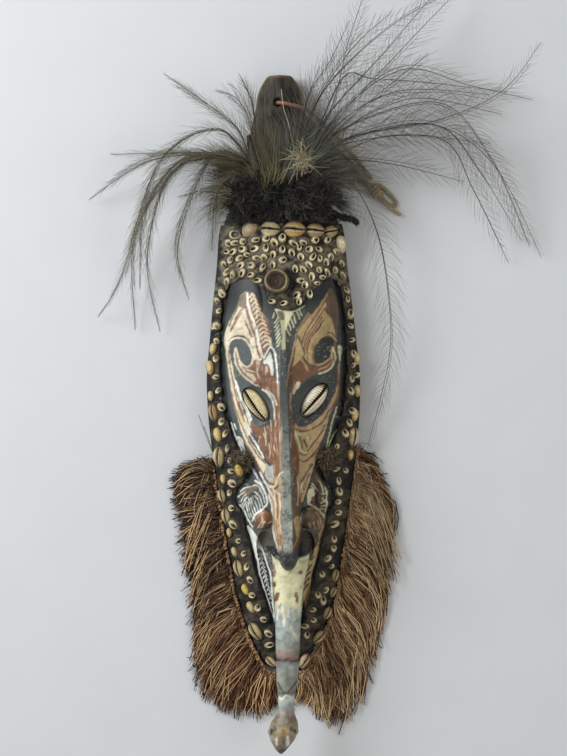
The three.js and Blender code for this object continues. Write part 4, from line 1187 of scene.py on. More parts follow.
STROKES = (
    Stroke(Paint.BROWN, 1.2, LOBES, (
        ((205, 410), (150, 500), (100, 600), (62, 700)), ((285, 465), (225, 492), (165, 590), (115, 690), (78,
        775)), ((300, 440), (318, 520), (350, 600), (385, 680)), ((340, 340), (372, 470), (415, 610), (450,
        740), (480, 860), (500, 1000)))),
    Stroke(Paint.DUST, 1.1, LOBES, (
        ((225, 330), (190, 420), (140, 520), (85, 620)), ((235, 520), (190, 590), (140, 680), (95, 755)))),
    Stroke(Paint.BROWN, 1.6, LOBES, (
        ((290, 640), (320, 730), (352, 810), (385, 870)), ((300, 500), (340, 620), (380, 730), (420, 840),
        (440, 950), (462, 1060), (500, 1160)))),
    Stroke(Paint.WHITE, 1.6, LOBES, (
        ((312, 250), (325, 400), (352, 520), (400, 640), (440, 760), (470, 900), (492, 1010), (530, 1140)),
        ((545, 1160), (600, 1060), (630, 1012), (685, 1060), (706, 1150), (722, 1300), (735, 1440), (740,
        1500)))),
    Stroke(Paint.UMBER, 1.0, LOBES, (
        ((560, 1180), (612, 1085), (640, 1072), (678, 1150), (692, 1300), (702, 1480)), ((60, 915), (110,
        868), (190, 845), (262, 856), (320, 900), (350, 945)))),
    Stroke(Paint.CREAM, 1.7, LOBES, (
        ((50, 960), (90, 902), (160, 872), (230, 876), (290, 912), (340, 972), (375, 1052), (390, 1140), (380,
        1212), (340, 1265), (290, 1270), (240, 1240), (200, 1180), (170, 1080), (155, 1020)),)),
    Stroke(Paint.CREAM, 1.5, LOBES, (
        ((152, 1030), (130, 1085), (140, 1180), (170, 1280), (230, 1370), (300, 1440), (380, 1500), (450,
        1545)),)),
    Stroke(Paint.CREAM, 1.0, LOBES, (
        ((190, 1180), (240, 1280), (300, 1350), (380, 1410), (430, 1450)), ((280, 1290), (350, 1330), (420,
        1350)), ((200, 1240), (270, 1340), (350, 1420), (420, 1470)), ((330, 1380), (400, 1400)), ((450,
        1300), (460, 1380), (480, 1440)))),
    Stroke(Paint.BONE, 0.9, LOBES, (
        ((950, 522), (1030, 495), (1115, 438)), ((1035, 495), (1075, 578)), ((1000, 525), (1045, 625)), ((952,
        560), (985, 675)), ((922, 620), (965, 740)), ((892, 680), (920, 778)), ((866, 760), (905, 850)),
        ((848, 870), (880, 932)), ((690, 540), (665, 605)))),
    Stroke(Paint.TAN, 1.2, LOBES, (
        ((1440, 270), (1340, 420), (1240, 570), (1150, 700), (1090, 800), (1062, 870)), ((1385, 430), (1300,
        560), (1220, 690), (1160, 800), (1110, 900), (1090, 1000), (1088, 1080)), ((1400, 530), (1320, 650),
        (1240, 770), (1180, 870), (1150, 950), (1130, 1050), (1125, 1120)), ((1310, 1335), (1360, 1312),
        (1420, 1290), (1455, 1255)), ((1060, 1190), (1110, 1250), (1152, 1335)), ((1600, 1230),
        (1592, 1350),
        (1588, 1480), (1560, 1600)))),
    Stroke(Paint.RUST, 1.15, LOBES, (
        ((1420, 340), (1320, 500), (1230, 640), (1150, 760), (1100, 860), (1078, 960)), ((1395, 480), (1310,
        610), (1230, 730), (1165, 840), (1125, 930), (1108, 1030), (1105, 1110)), ((1370, 640), (1310, 740),
        (1240, 830), (1190, 920), (1160, 1010), (1150, 1110), (1165, 1190)), ((1355, 600), (1280, 720),
        (1215, 820), (1170, 900), (1140, 1000), (1138, 1100)), ((1575, 1300), (1582, 1540)))),
    Stroke(Paint.UMBER, 1.1, LOBES, (
        ((1430, 820), (1490, 822), (1545, 860)), ((1360, 650), (1325, 735), (1270, 810)), ((1000, 860), (985,
        950), (968, 1050), (945, 1160), (920, 1260), (895, 1380)), ((1035, 880), (1065, 960), (1100, 1060),
        (1108, 1140)))),
    Stroke(Paint.TAN, 1.4, LOBES, (
        ((995, 830), (975, 950), (955, 1050), (932, 1150), (905, 1260), (885, 1370), (870, 1480), (866,
        1560)),)),
    Stroke(Paint.STRAW, 1.7, LOBES, (
        ((1560, 930), (1480, 852), (1420, 845), (1340, 880), (1280, 940), (1230, 1020), (1205, 1110), (1205,
        1190), (1240, 1250), (1300, 1270), (1380, 1240), (1440, 1200), (1490, 1130), (1505, 1020)),)),
    Stroke(Paint.BONE, 1.5, LOBES, (
        ((1515, 1030), (1545, 1150), (1530, 1230), (1480, 1310), (1400, 1362), (1310, 1388)),)),
    Stroke(Paint.BROWN, 1.4, CHEEKS, (
        ((-20, -420), (-10, -270), (15, -120), (50, 30), (75, 160), (110, 300), (150, 430), (200, 560), (255,
        690), (320, 830), (390, 950), (450, 1060)), ((20, 170), (60, 330), (100, 460), (150, 590), (205,
        720), (270, 850), (345, 970), (420, 1080), (490, 1150)), ((180, 800), (240, 910), (310, 1020), (380,
        1150), (440, 1270), (490, 1360), (545, 1435), (610, 1450)))),
    Stroke(Paint.WHITE, 1.8, CHEEKS, (
        ((75, 0), (110, 110), (150, 220), (200, 330), (255, 440), (300, 545)), ((205, 590), (250, 690), (300,
        780), (360, 870), (425, 980), (470, 1075)))),
    Stroke(Paint.BROWN, 1.3, CHEEKS, (
        ((190, 410), (235, 520), (275, 640), (305, 760)), ((120, 300), (160, 420), (200, 530)))),
    Stroke(Paint.BROWN, 2.8, CHEEKS, (((303, 590), (308, 680), (316, 770)),)),
    Stroke(Paint.WHITE, 1.2, CHEEKS, (((200, 490), (250, 610), (300, 720)),)),
    Stroke(Paint.YELLOW, 1.2, CHEEKS, (((125, 430), (165, 550), (205, 640)),)),
    Stroke(Paint.SLATE, 0.9, CHEEKS, (
        ((85, 120), (125, 240), (175, 350), (225, 450)), ((110, 830), (150, 900), (190, 980)), ((140, 820),
        (175, 890), (205, 960)))),
    Stroke(Paint.CREAM, 1.3, CHEEKS, (
        ((545, 1480), (600, 1480), (650, 1420), (675, 1340), (700, 1285), (745, 1262)),)),
    Stroke(Paint.UMBER, 1.1, CHEEKS, (
        ((520, 1395), (560, 1440), (610, 1440)), ((555, 1510), (620, 1510), (675, 1450)), ((975, 790), (1000,
        880), (1010, 950)))),
    Stroke(Paint.NIGHT, 1.4, CHEEKS, (((205, 900), (255, 1040), (320, 1160), (385, 1275), (440, 1380)),)),
    Stroke(Paint.WHITE, 1.3, CHEEKS, (
        ((290, 1190), (350, 1290), (420, 1420), (490, 1560), (520, 1650)), ((420, 1280), (480, 1400), (545,
        1520), (600, 1620), (640, 1700)), ((455, 125), (520, 170), (570, 240), (602, 320), (620, 400), (628,
        540)), ((548, 150), (600, 220), (640, 300), (655, 350)), ((18, 590), (50, 700), (95, 830)), ((60,
        610), (90, 680)))),
    Stroke(Paint.CREAM, 0.8, CHEEKS, (
        ((390, 60), (410, 90)), ((500, 790), (500, 900)), ((545, 870), (560, 1000), (545, 1080)),
        ((420, 780),
        (400, 850)), ((470, 740), (490, 800)), ((570, 560), (580, 700)), ((640, 560), (640, 640)))),
    Stroke(Paint.TAN, 1.1, CHEEKS, (
        ((850, 180), (842, 330), (850, 420)), ((835, 860), (850, 930)), ((905, 0), (880, 100),
        (850, 250)))),
    Stroke(Paint.RUST, 2.0, CHEEKS, (
        ((1500, 0), (1528, 80), (1515, 200), (1480, 300), (1425, 390), (1365, 470)),)),
    Stroke(Paint.TAN, 2.0, CHEEKS, (
        ((1470, 200), (1435, 280), (1385, 370), (1335, 450), (1285, 510), (1200, 585), (1100, 645), (1000,
        675), (935, 650)),)),
    Stroke(Paint.RUST, 1.6, CHEEKS, (
        ((915, 680), (1000, 712), (1100, 702), (1200, 655), (1290, 595), (1340, 525), (1385, 435)), ((1335,
        635), (1260, 760), (1180, 870), (1105, 960), (1062, 1030), (1005, 1042), (968, 1010)), ((1295, 840),
        (1210, 980), (1120, 1085), (1050, 1132), (1000, 1132), (955, 1095)), ((1145, 1180), (1080, 1285),
        (1005, 1395), (965, 1460)))),
    Stroke(Paint.TAN, 1.3, CHEEKS, (
        ((1350, 690), (1280, 800), (1200, 925), (1120, 1025), (1060, 1082), (1000, 1082), (968, 1060)),)),
    Stroke(Paint.RUST, 1.0, CHEEKS, (
        ((1120, 1300), (1050, 1440), (990, 1600)), ((1060, 1480), (1010, 1590), (975, 1680)))),
    Stroke(Paint.BONE, 1.2, CHEEKS, (
        ((908, 700), (930, 790), (960, 880), (990, 965), (1030, 1010), (1070, 1010)), ((1010, 770), (1050,
        755), (1095, 810)), ((945, 740), (990, 765)), ((1495, 390), (1440, 560), (1395, 740), (1345, 950)),
        ((1490, 715), (1430, 810), (1375, 955)))),
    Stroke(Paint.UMBER, 1.8, CHEEKS, (((1035, 830), (1070, 920)),)),
    Stroke(Paint.NIGHT, 1.6, CHEEKS, (
        ((1405, 490), (1355, 680), (1295, 850), (1235, 1020), (1185, 1200), (1135, 1380), (1085, 1540), (1035,
        1680)),)),
    Stroke(Paint.WHITE, 1.5, NOSE, (
        ((400, 200), (442, 330), (455, 500), (462, 650), (482, 780), (512, 900), (545, 1000), (552, 1060)),
        ((215, 0), (300, 60), (350, 160), (382, 265), (380, 320), (322, 388), (250, 438), (200, 502), (170,
        570)), ((-5, 350), (65, 430), (98, 520), (175, 650)))),
    Stroke(Paint.CREAM, 1.3, NOSE, (
        ((470, 120), (495, 300), (500, 480), (510, 650), (530, 800)), ((545, 150), (560, 330), (560, 520),
        (575, 700)), ((430, 60), (480, 130), (560, 170)), ((560, 900), (545, 960)))),
    Stroke(Paint.BROWN, 1.0, NOSE, (
        ((510, 180), (525, 340), (520, 500)), ((575, 100), (580, 300), (572, 480), (580, 640)), ((500, 540),
        (520, 720), (545, 880)), ((560, 740), (575, 860)))),
    Stroke(Paint.CREAM, 0.8, NOSE, (((800, -60), (815, 150), (800, 330)), ((850, 40), (870, 170)))),
    Stroke(Paint.RUST, 1.1, NOSE, (
        ((780, 0), (785, 200), (775, 400)), ((270, 470), (225, 600)), ((350, 440), (380, 520)))),
    Stroke(Paint.TAN, 1.1, NOSE, (
        ((850, 500), (838, 650), (808, 790), (780, 840), (745, 900)), ((250, 500), (290, 450), (340, 430)),
        ((1060, 445), (1125, 550), (1140, 680)), ((965, 590), (990, 660)), ((1095, 560), (1108, 680)),
        ((1030, 580), (1050, 690)))),
    Stroke(Paint.WHITE, 0.95, NOSE, (
        ((185, 150), (245, 185), (295, 270), (325, 370)), ((190, 205), (235, 240), (275, 320), (290, 405)),
        ((175, 230), (205, 300), (245, 380), (262, 425)), ((150, 240), (180, 330), (215, 420), (235, 450)),
        ((115, 240), (150, 330), (175, 420), (205, 480)), ((110, 300), (130, 400), (160, 490), (180, 520)),
        ((85, 330), (105, 420), (135, 520)), ((85, 190), (40, 235), (5, 300)), ((95, 225), (55, 280), (20,
        350)), ((80, 290), (55, 350), (40, 400)), ((60, 160), (10, 195), (-40, 240)), ((0, 150), (60, 105),
        (130, 80), (200, 70)), ((150, 90), (215, 60), (262, 90), (320, 190), (350, 300)))),
    Stroke(Paint.CREAM, 1.2, NOSE, (
        ((305, 560), (255, 655)), ((345, 560), (292, 655)), ((395, 585), (450, 558)))),
    Stroke(Paint.STRAW, 1.2, NOSE, (((955, 395), (1050, 400), (1130, 455), (1185, 540)),)),
    Stroke(Paint.BONE, 0.8, NOSE, (
        ((1010, 40), (1045, 100), (1085, 150)), ((1000, 80), (1040, 140)), ((1005, 120), (1050, 185)), ((1110,
        20), (1150, 110), (1160, 170)), ((1150, 250), (1205, 330)), ((1130, 320), (1190, 295)), ((1140,
        370), (1205, 360)), ((1150, 200), (1200, 190)), ((1120, 400), (1195, 420)))),
    Stroke(Paint.BONE, 1.2, NOSE, (
        ((1190, 110), (1217, 180), (1206, 260), (1217, 350), (1192, 450)), ((955, 330), (1030, 372), (1110,
        420), (1160, 480), (1185, 545)))),
    Stroke(Paint.NIGHT, 1.8, NOSE, (
        ((1060, 915), (1010, 975)), ((1035, 1075), (990, 1125)), ((1005, 1195), (950, 1255)), ((985, 1290),
        (932, 1335)), ((965, 1380), (912, 1435)), ((950, 1470), (900, 1525)))),
    Stroke(Paint.UMBER, 0.8, CHIN, (
        ((372, 235), (380, 330), (390, 430), (398, 600)), ((635, 230), (612, 330), (592, 430), (577, 560)),
        ((412, 600), (440, 545)))),
    Stroke(Paint.RUST, 3.2, CHIN, (
        ((392, 408), (392, 428)), ((420, 480), (405, 520)), ((540, 480), (545, 530)), ((572, 338), (572,
        346)))),
    Stroke(Paint.BONE, 1.2, CHIN, (((500, 690), (520, 740), (545, 785)), ((455, 610), (460, 690)))),
    Stroke(Paint.MIST, 2.2, CHIN, (((405, 650), (425, 590), (440, 560)),)),
    Stroke(Paint.WHITE, 1.4, NECK, (
        ((330, 440), (338, 520), (342, 585)), ((302, 470), (296, 540)), ((365, 445), (374, 520)),
        ((308, 1084),
        (332, 1092), (352, 1070), (374, 1070), (400, 1086)))),
    Stroke(Paint.BONE, 1.3, NECK, (((402, 470), (415, 545)), ((385, 590), (410, 632), (434, 668)))),
    Stroke(Paint.UMBER, 1.2, NECK, (((303, 985), (328, 1034), (356, 1050), (388, 1030), (428, 975)),)),
)


# The pieces


@dataclass
class FacePainting:
    """The painted pattern, laid on whatever points it is given."""

    edge: float = 0.4
    cut: float = 0.35
    arches: int = 13
    bars: int = 14
    comb_teeth: int = 10
    fern_leaves: int = 7

    def rows(self) -> list[Stroke]:
        """Gives the short strokes that repeat in rows: arches, fern leaves, combs and chevrons.

        Returns:
            The strokes.
        """
        arches, bars, combs, leaves = [], [], [], []
        for i in range(self.arches):
            t = i / (self.arches - 1)
            x, y, wide = 348 + 192 * t, 300 + 700 * t, 62 + 52 * min(1.0, 1.6 * t)
            arches.append(((x, y + 14), (x + 0.4 * wide, y - 28), (x + 0.7 * wide, y - 24),
                           (x + wide, y + 6)))
        for i in range(self.bars):
            y, small = 960 + 62 * i, 1 - i / 20
            x = 238 + 0.271 * (y - 950)
            bars += [((x, y), (x + 68 * small, y + 88 * small)), ((x, y), (x - 26 * small, y + 58 * small))]
        for i in range(self.comb_teeth):
            combs.append(((1158 - 17.5 * i, 540 + 26 * i), (1200 - 17.5 * i, 580 + 26 * i)))
        for i in range(self.fern_leaves):
            leaves.append(((744 + 7 * i, 598 + 54 * i), (690 + 7 * i, 680 + 54 * i)))
        return [Stroke(Paint.CREAM, 1.3, LOBES, arches), Stroke(Paint.TAN, 0.9, LOBES, combs),
                Stroke(Paint.BONE, 1.0, LOBES, leaves), Stroke(Paint.WHITE, 0.55, NOSE, bars)]

    def lay(self, relief: Relief, places: np.ndarray, ground: np.ndarray) -> tuple[np.ndarray, np.ndarray]:
        """Paints the pattern over a ground colour.

        Args:
            relief: the carved surface.
            places: each point's place across and along.
            ground: each point's linear colour before.

        Returns:
            The colours, and how deep each point is scored by the lines.
        """
        tone, depth, earth = ground.copy(), np.zeros(len(places)), np.zeros(len(places))
        unsteady = [chance(places, 3.5, 6 + k) * 0.35 + chance(places, 1.6, 8 + k) * 0.2 for k in (0, 1)]
        streaked = {Paint.BROWN: 0.8, Paint.RUST: 0.4, Paint.TAN: 0.45, Paint.STRAW: 0.12, Paint.OCHRE: 0.08}
        drawn = places + np.stack(unsteady, axis=1)
        for fill in FILLS:
            line = curve_through(fill.sheet.mm(fill.outline), 3, closed=True)
            near = self.near(line, drawn, self.edge)
            inside = within(line, drawn[near])
            gap = gap_to(np.vstack([line, line[:1]]), drawn[near])
            cover = np.clip(0.5 + np.where(inside, gap, -gap) / (2 * self.edge), 0, 1)
            earth[near] = earth[near] * (1 - cover) + streaked.get(fill.paint, 0) * cover
            tone[near] = over(tone[near], fill.paint.value, cover)
        flow = np.stack([places[:, 0] / relief.face_half(places[:, 1]) * 52, places[:, 1] * 0.14], axis=1)
        streak = smooth((chance(flow, 1.5, 11) + 0.4 * chance(flow, 0.8, 12) - 0.3) * 2.2)
        tone = over(tone, "#d9c6ad", streak * earth * smooth(chance(places, 12, 13) + 0.85))
        for stroke, points in ((look, points) for look in (*STROKES, *self.rows()) for points in look.lines):
            line = curve_through(stroke.sheet.mm(points), 5)
            near = self.near(line, drawn, stroke.width)
            gap = gap_to(line, drawn[near])
            wobble = 1 + 0.3 * chance(places[near], 2.5, 5)
            cover = np.clip(0.5 + (stroke.width / 2 * wobble - gap) / (2 * self.edge), 0, 1)
            tone[near] = over(tone[near], stroke.paint.value, cover)
            depth[near] = np.maximum(depth[near], self.cut * cover)
        return tone, depth

    @staticmethod
    def near(line: np.ndarray, places: np.ndarray, reach: float) -> np.ndarray:
        """Finds the places in a line's box, with a margin.

        Args:
            line: the line's points.
            places: the places to look among.
            reach: the margin.

        Returns:
            The indices of those inside.
        """
        low, high = line.min(0) - reach, line.max(0) + reach
        return np.flatnonzero(((places >= low) & (places <= high)).all(1))


@dataclass
class MaskWood:
    """The mask's one piece of wood, from the hanging tab to the bird's beak."""

    relief: Relief
    foot: float = 76.0
    top: float = 645.0
    step: float = 0.82
    round_edge: float = 2.4
    across_face: int = 131
    border_steps: int = 6
    neck_sides: int = 56
    hole: Spot = Spot(-1.8, 618.5, 3.4, 7.0, 0)
    bird_eyes: Spot = Spot(-4.4, 22.5, 10.7, 3.7, 54)
    neck: Points = (
        (187, 3.4, 37, 19, 11), (178, 3.6, 38.5, 18.6, 12), (165, 3, 41, 17, 12.5),
        (150, 2.4, 43, 14.6, 12.5), (136, 1.8, 44.5, 12.8, 12), (122, 1.4, 45.5, 12, 11.6),
        (105, 1, 46.5, 11.4, 11), (93, 0.7, 47, 11, 10.8), (90.5, 0.7, 47, 10.2, 10),
        (88, 0.6, 47, 10.9, 10.6), (74, 0, 47.5, 10.2, 10), (58, -0.8, 48, 8.4, 8.4),
        (42, -1.2, 48, 7.4, 7.4), (36, -2, 48.5, 9.4, 8.6), (30, -3.2, 49.5, 12.7, 10.2),
        (23, -4.2, 50, 13.9, 10.8), (15, -5.1, 49.2, 12, 9.6), (8, -6, 47.8, 7.8, 6.8),
        (2.5, -6.6, 46, 3.8, 3.4), (0, -6.7, 45.2, 1, 1),
    )

    def columns(self, rows: np.ndarray, grow: float, inner: int, outer: int) -> np.ndarray:
        """Gives each row's places across, close together on the face.

        Args:
            rows: where the rows are.
            grow: how far the board is swollen.
            inner: how many places lie across the face.
            outer: how many steps each border gets.

        Returns:
            One row of places for each row.
        """
        half = self.relief.board_half(rows) + grow
        face = np.minimum(self.relief.face_half(rows) + 3.4, half - 3.2)[:, None]
        edge = (half - self.round_edge)[:, None]
        middle = face * np.linspace(-1, 1, inner)
        border = face + (edge - face) * (np.arange(1, outer + 1) / outer)
        turn = edge + self.round_edge * np.sin(np.radians([35, 65, 90]))
        right = np.hstack([border, turn])
        return np.hstack([-right[:, ::-1], middle, right])

    def board(self, name: str, grow: float, step: float, inner: int, outer: int) -> bpy.types.Object:
        """Builds the board without its cuts.

        Args:
            name: the object's name.
            grow: how far it is swollen.
            step: how far apart the rows are on the face.
            inner: how many places lie across the face.
            outer: how many steps each border gets.

        Returns:
            The closed board.
        """
        marks = [self.foot - grow, 110, 172, 184, 472, self.top - 3, self.top + grow]
        steps = [2.5 * step, step, step * 0.6, step, 2.2 * step, step * 0.7]
        rows = np.concatenate([np.arange(a, b, s) for a, b, s in zip(marks, marks[1:], steps)] + [marks[-1:]])
        across = self.columns(rows, grow, inner, outer)
        along = np.repeat(rows[:, None], across.shape[1], axis=1)
        height = self.relief.wood(across, along) + grow
        edge = np.clip(np.abs(across) - (self.relief.board_half(along) + grow - self.round_edge), 0, None)
        end = np.clip(along - (self.top + grow - self.round_edge), 0, self.round_edge)
        for past in (edge, end):
            height -= self.round_edge - np.sqrt(np.clip(self.round_edge**2 - past**2, 0, None))
        if not grow:
            spots = np.stack([across, along], axis=-1).reshape(-1, 2)
            tab = smooth((along - 520) / 30)
            height += tab * (0.5 * chance(spots, 9, 3) + 0.25 * chance(spots, 3, 4)).reshape(height.shape)
            height += (1 - tab) * 0.12 * chance(spots, 6, 9).reshape(height.shape)
        under = self.relief.tab_lift * smooth((rows - 520) / 20) - 2 * grow
        return mesh_piece(name, slab(rows, across, height, under), PAINTED_WOOD)

    def neck_and_bird(self) -> list[bpy.types.Object]:
        """Builds the neck, the bird's head and its eyes.

        Returns:
            The bodies that join the board.
        """
        stations = np.array(self.neck[::-1], float)
        rows = np.concatenate([np.arange(0, 36, 0.8), np.arange(36, 187, 1.1), [187]])
        across, up, wide, high = (profile(stations[:, [0, k]])(rows)[:, None] for k in (1, 2, 3, 4))
        angle = (np.arange(self.neck_sides) * 2 * np.pi / self.neck_sides)[None, :]
        along = np.repeat(rows[:, None], self.neck_sides, axis=1)
        crest = 1 + 0.12 * smooth((30 - along) / 12) * np.clip(np.sin(angle), 0, 1) ** 6
        rings = np.stack([across + wide * np.cos(angle), along, up + high * np.sin(angle) * crest], axis=-1)
        bodies = [mesh_piece("neck", ringed(rings[::-1]), PAINTED_WOOD)]
        for side in (-1, 1):
            eye = self.bird_eyes
            arc = np.radians(np.linspace(-90, 90, 13))
            ball = lathe(np.stack([np.cos(arc) * eye.length + 0.01, np.sin(arc) * eye.length], axis=1), 20)
            ball.points += (eye.across + side * eye.width, eye.along, eye.rise)
            bodies.append(mesh_piece("bird_eye", ball, PAINTED_WOOD))
        return bodies

    def cuts(self) -> list[bpy.types.Object]:
        """Builds the bodies that are cut away: the hollow back, the hole and the eye sockets.

        Returns:
            The bodies.
        """
        relief = self.relief
        rows = np.linspace(relief.hollow_foot, relief.hollow_top, 80)
        share = np.linspace(-1, 1, 31)[None, :]
        ends = smooth((rows - relief.hollow_foot) / 45) * smooth((relief.hollow_top - rows) / 45)
        roof = 2 + ((relief.crown(rows) - 14) * ends)[:, None] * (1 - np.abs(share) ** 2.6)
        half = (relief.board_half(rows) - 11)[:, None]
        tools = [mesh_piece("hollow", slab(rows, share * half, roof, np.full(80, -5.0)), PAINTED_WOOD)]
        hole, back = self.hole, relief.tab_lift
        front = float(relief.arch(hole.across, hole.along))
        outline = [
            (0.01, back - 10), (hole.length, back - 10), (hole.length - 1, back), (hole.width, back + 4),
            (hole.width, front - 4.5), (hole.length - 1.5, front - 0.5), (hole.length + 1, front + 2),
            (hole.length + 1, front + 10), (0.01, front + 10),
        ]
        drill = lathe(outline, 32)
        drill.points += (hole.across, hole.along, 0)
        tools.append(mesh_piece("drill", drill, PAINTED_WOOD))
        for eye in relief.eyes:
            cup = lathe([(0.01, -0.8), (1, -0.8), (1, 20), (0.01, 20)], 40)
            cup.points *= (0.23 * eye.length * 1.14, 0.5 * eye.length * 1.07, 1)
            seat = relief.seat(eye.across, eye.along, eye.turn, relief.wood)
            tools.append(mesh_piece("socket", moved(cup, seat), PAINTED_WOOD))
        return tools

    def ground(self, places: np.ndarray) -> np.ndarray:
        """Gives the wood's colour before the pattern, with painted shade on its right side.

        Args:
            places: each point's place across, along and up.

        Returns:
            Linear colours.
        """
        across, along, up = places.T
        flat = places[:, :2]
        # Painted shade: the slate darkens over the right half, and also over the top of the face
        side = np.maximum(0.6 * smooth((across + 5) / 40), smooth((along - 405) / 30))[:, None]
        inside = self.relief.face_half(along) - np.abs(across)
        night = "#101315"
        tone = over(between(Paint.SLATE.value, night, side), night, 0.75 * smooth((4.5 - inside) / 5))
        grain = np.stack([across, along * 0.08], axis=1)
        patches = smooth(0.45 + 0.6 * chance(flat, 9, 21) + 0.7 * chance(grain, 1.3, 22))[:, None]
        # Painted shade: the tab's right facet is made darker
        timber = between("#28251d", "#4d493d", patches) * (1 - 0.28 * smooth((across - 1) / 3)[:, None])
        edge = self.relief.board_half(along) - np.abs(across)
        rub = np.maximum(smooth((3 - edge) / 2.4), smooth((along - 641) / 3))
        timber = over(timber, "#7c6142", 0.6 * rub * smooth(chance(flat, 7, 23) + 0.8))
        timber = over(timber, "#1b1712", smooth((np.abs(across) - 36) / 8) * smooth((532 - along) / 8))
        tone = over(tone, timber, smooth((along - 495) / 15))
        back = (up < self.relief.rim(along) * 0.8)[:, None] & (along[:, None] > 76)
        return np.where(back, linear("#5b4a38") * (0.85 + 0.15 * patches), tone)

    def neck_colours(self, places: np.ndarray, tone: np.ndarray) -> np.ndarray:
        """Paints the neck's bands and the bird's head.

        Args:
            places: each point's place across, along and up.
            tone: each point's linear colour before.

        Returns:
            Linear colours.
        """
        across, along, up = places.T
        flat = places[:, :2]
        wave = along + 1.3 * chance(flat, 5, 31) + 0.6 * chance(flat, 2, 32)
        # The pale band near 54 mm is partly a painted highlight
        bands = [
            (0, "#5c3f31"), (3.5, "#75594a"), (8, "#8d8069"), (15, "#978a70"), (24, "#9b8a66"),
            (31, "#7f6f50"),
            (35, "#6f6556"), (39, "#94877a"), (46, "#98a09b"), (54, "#b3bab4"), (59, "#5e5a50"),
            (63, "#83867a"),
            (74, "#929a8d"), (83, "#8f968e"), (87.4, "#77777a"), (88.4, "#26262a"), (89.6, "#2c2728"),
            (90.8, "#8f7065"), (97, "#978a80"), (103, "#989f98"), (118, "#a3aca6"), (140, "#a9b3ab"),
            (156, "#aeb6a8"), (168, "#c3c3a4"),
        ]
        banded = ramp(wave, bands)
        banded *= (1 + 0.16 * chance(flat, 4, 33) + 0.1 * chance(flat * (1, 0.25), 1.2, 34))[:, None]
        half = np.interp(along, [0, 120, 168], [22, 14, 18])
        neck = (along < 168) & (up > 30) & (np.abs(across - 2) < half)
        tone = over(tone, banded, neck * smooth((165 - along) / 14))
        marks = [
            (2.3, 90.4, 1.3, 1.1, "#a63d2c"), (-7.6, 97, 2.2, 2.6, "#9b857b"),
            (-15.6, 23.4, 2.2, 2.9, "#8b887a"),
            (6.8, 23, 2.2, 2.9, "#8b887a"), (-15.4, 23.6, 1.5, 2.1, "#332e27"),
            (6.6, 23.2, 1.5, 2.1, "#332e27"),
            (-12.4, 26, 1.6, 3.0, "#554b3b"), (3.4, 25.4, 1.6, 3.0, "#554b3b"),
            (-4.6, 33, 5.5, 3.5, "#8a8474"), (-10.6, 13.4, 1.4, 5.2, "#e9e7dc"),
            (-0.4, 13.8, 1.9, 5.8, "#e9e7dc"), (-4.4, 20, 2.6, 6.5, "#8a7350"),
            (-5.4, 3, 3.4, 2.4, "#54382c"),
        ]
        for *oval, colour in marks:
            tone = over(tone, colour, smooth((1.15 - reach_from(places, *oval)) / 0.3) * (up > 38))
        return tone

    def build(self) -> bpy.types.Object:
        """Carves the wood and paints it.

        Returns:
            The finished piece.
        """
        wood = self.board("carved_mask", 0.0, self.step, self.across_face, self.border_steps)
        carved(wood, self.neck_and_bird(), "UNION")
        carved(wood, self.cuts())
        mesh = wood.data
        places = places_of(mesh)
        normals = np.empty(len(mesh.vertices) * 3, np.float32)
        mesh.vertices.foreach_get("normal", normals)
        upward = normals.reshape(-1, 3)[:, 2]
        tone = self.neck_colours(places, self.ground(places))
        face = np.flatnonzero((upward > 0.05) & (places[:, 1] > 50) & (places[:, 1] < 470))
        painted, depth = FacePainting().lay(self.relief, places[face, :2], tone[face])
        tone[face] = painted
        self.nose_colours(places, tone)
        self.wear(places, tone)
        places[face, 2] -= depth * (upward[face] > 0.4)
        mesh.vertices.foreach_set("co", ((places + SHIFT) * MM).astype(np.float32).ravel())
        mesh.update()
        mesh.set_sharp_from_angle(angle=math.radians(50))
        polish = 1 - 0.8 * smooth((places[:, 1] - 495) / 15)
        paint(mesh, np.column_stack([tone, polish]))
        return hand_in(wood, "wood", "mask_wood")

    def nose_colours(self, places: np.ndarray, tone: np.ndarray) -> None:
        """Rubs the nose ridge sandy, paints shade on its right side, darkens its tip and the hollows by it.

        Args:
            places: each point's place across, along and up.
            tone: each point's linear colour, which changes.
        """
        across, along, _ = places.T
        flat = places[:, :2]
        lean = across - self.relief.sway(along)
        # Painted shade down the right flank of the ridge, and the ridge made darker
        dark = 0.6 * smooth((lean - 1.6) / 1.4) * (lean < 4.6) * smooth((along - 300) / 60) * (along < 400)
        dark += 0.34 * smooth((3.6 - np.abs(lean + 0.6)) / 1.2) * smooth((along - 270) / 60) * (along < 425)
        tone[:] = over(tone, "#272c2b", np.minimum(dark, 0.7))
        wide = np.interp(along, [176, 200, 300, 420], [3.6, 4.6, 4.4, 3.4])
        sand = smooth((wide + 0.8 - np.abs(lean + 0.4)) / 1.6) * (0.04 + 0.86 * smooth((345 - along) / 110))
        patchy = smooth(0.85 + 0.5 * chance(flat, 1.2, 24) + 0.4 * chance(flat, 7, 25))
        sand *= (along > 178) * (along < 405) * patchy * smooth((0.35 - tone.mean(1)) / 0.1)
        tone[:] = over(tone, "#a3a69b", sand)
        # Hollows by the nose tip: near black, partly dark paste and partly painted shade, darker on the right
        for *oval, colour in ((-20.3, 203.3, 8, 9, "#5c5344"), (-13.8, 191.5, 6, 5.5, "#100d0a"),
                              (24.3, 203.3, 9, 10, "#382f23"), (16.6, 191.5, 7, 5.5, "#0d0a08")):
            depth = 1.5 - 1.2 * reach_from(places, *oval) + 0.25 * chance(flat, 2, 26)
            tone[:] = over(tone, colour, 0.75 * smooth(depth))
        snout = (along > 174) & (((along - 196) / 22) ** 2 + (lean / 10.5) ** 2 < 1)
        tone[:] = over(tone, "#2f3138", smooth((198 - along) / 9) * snout)

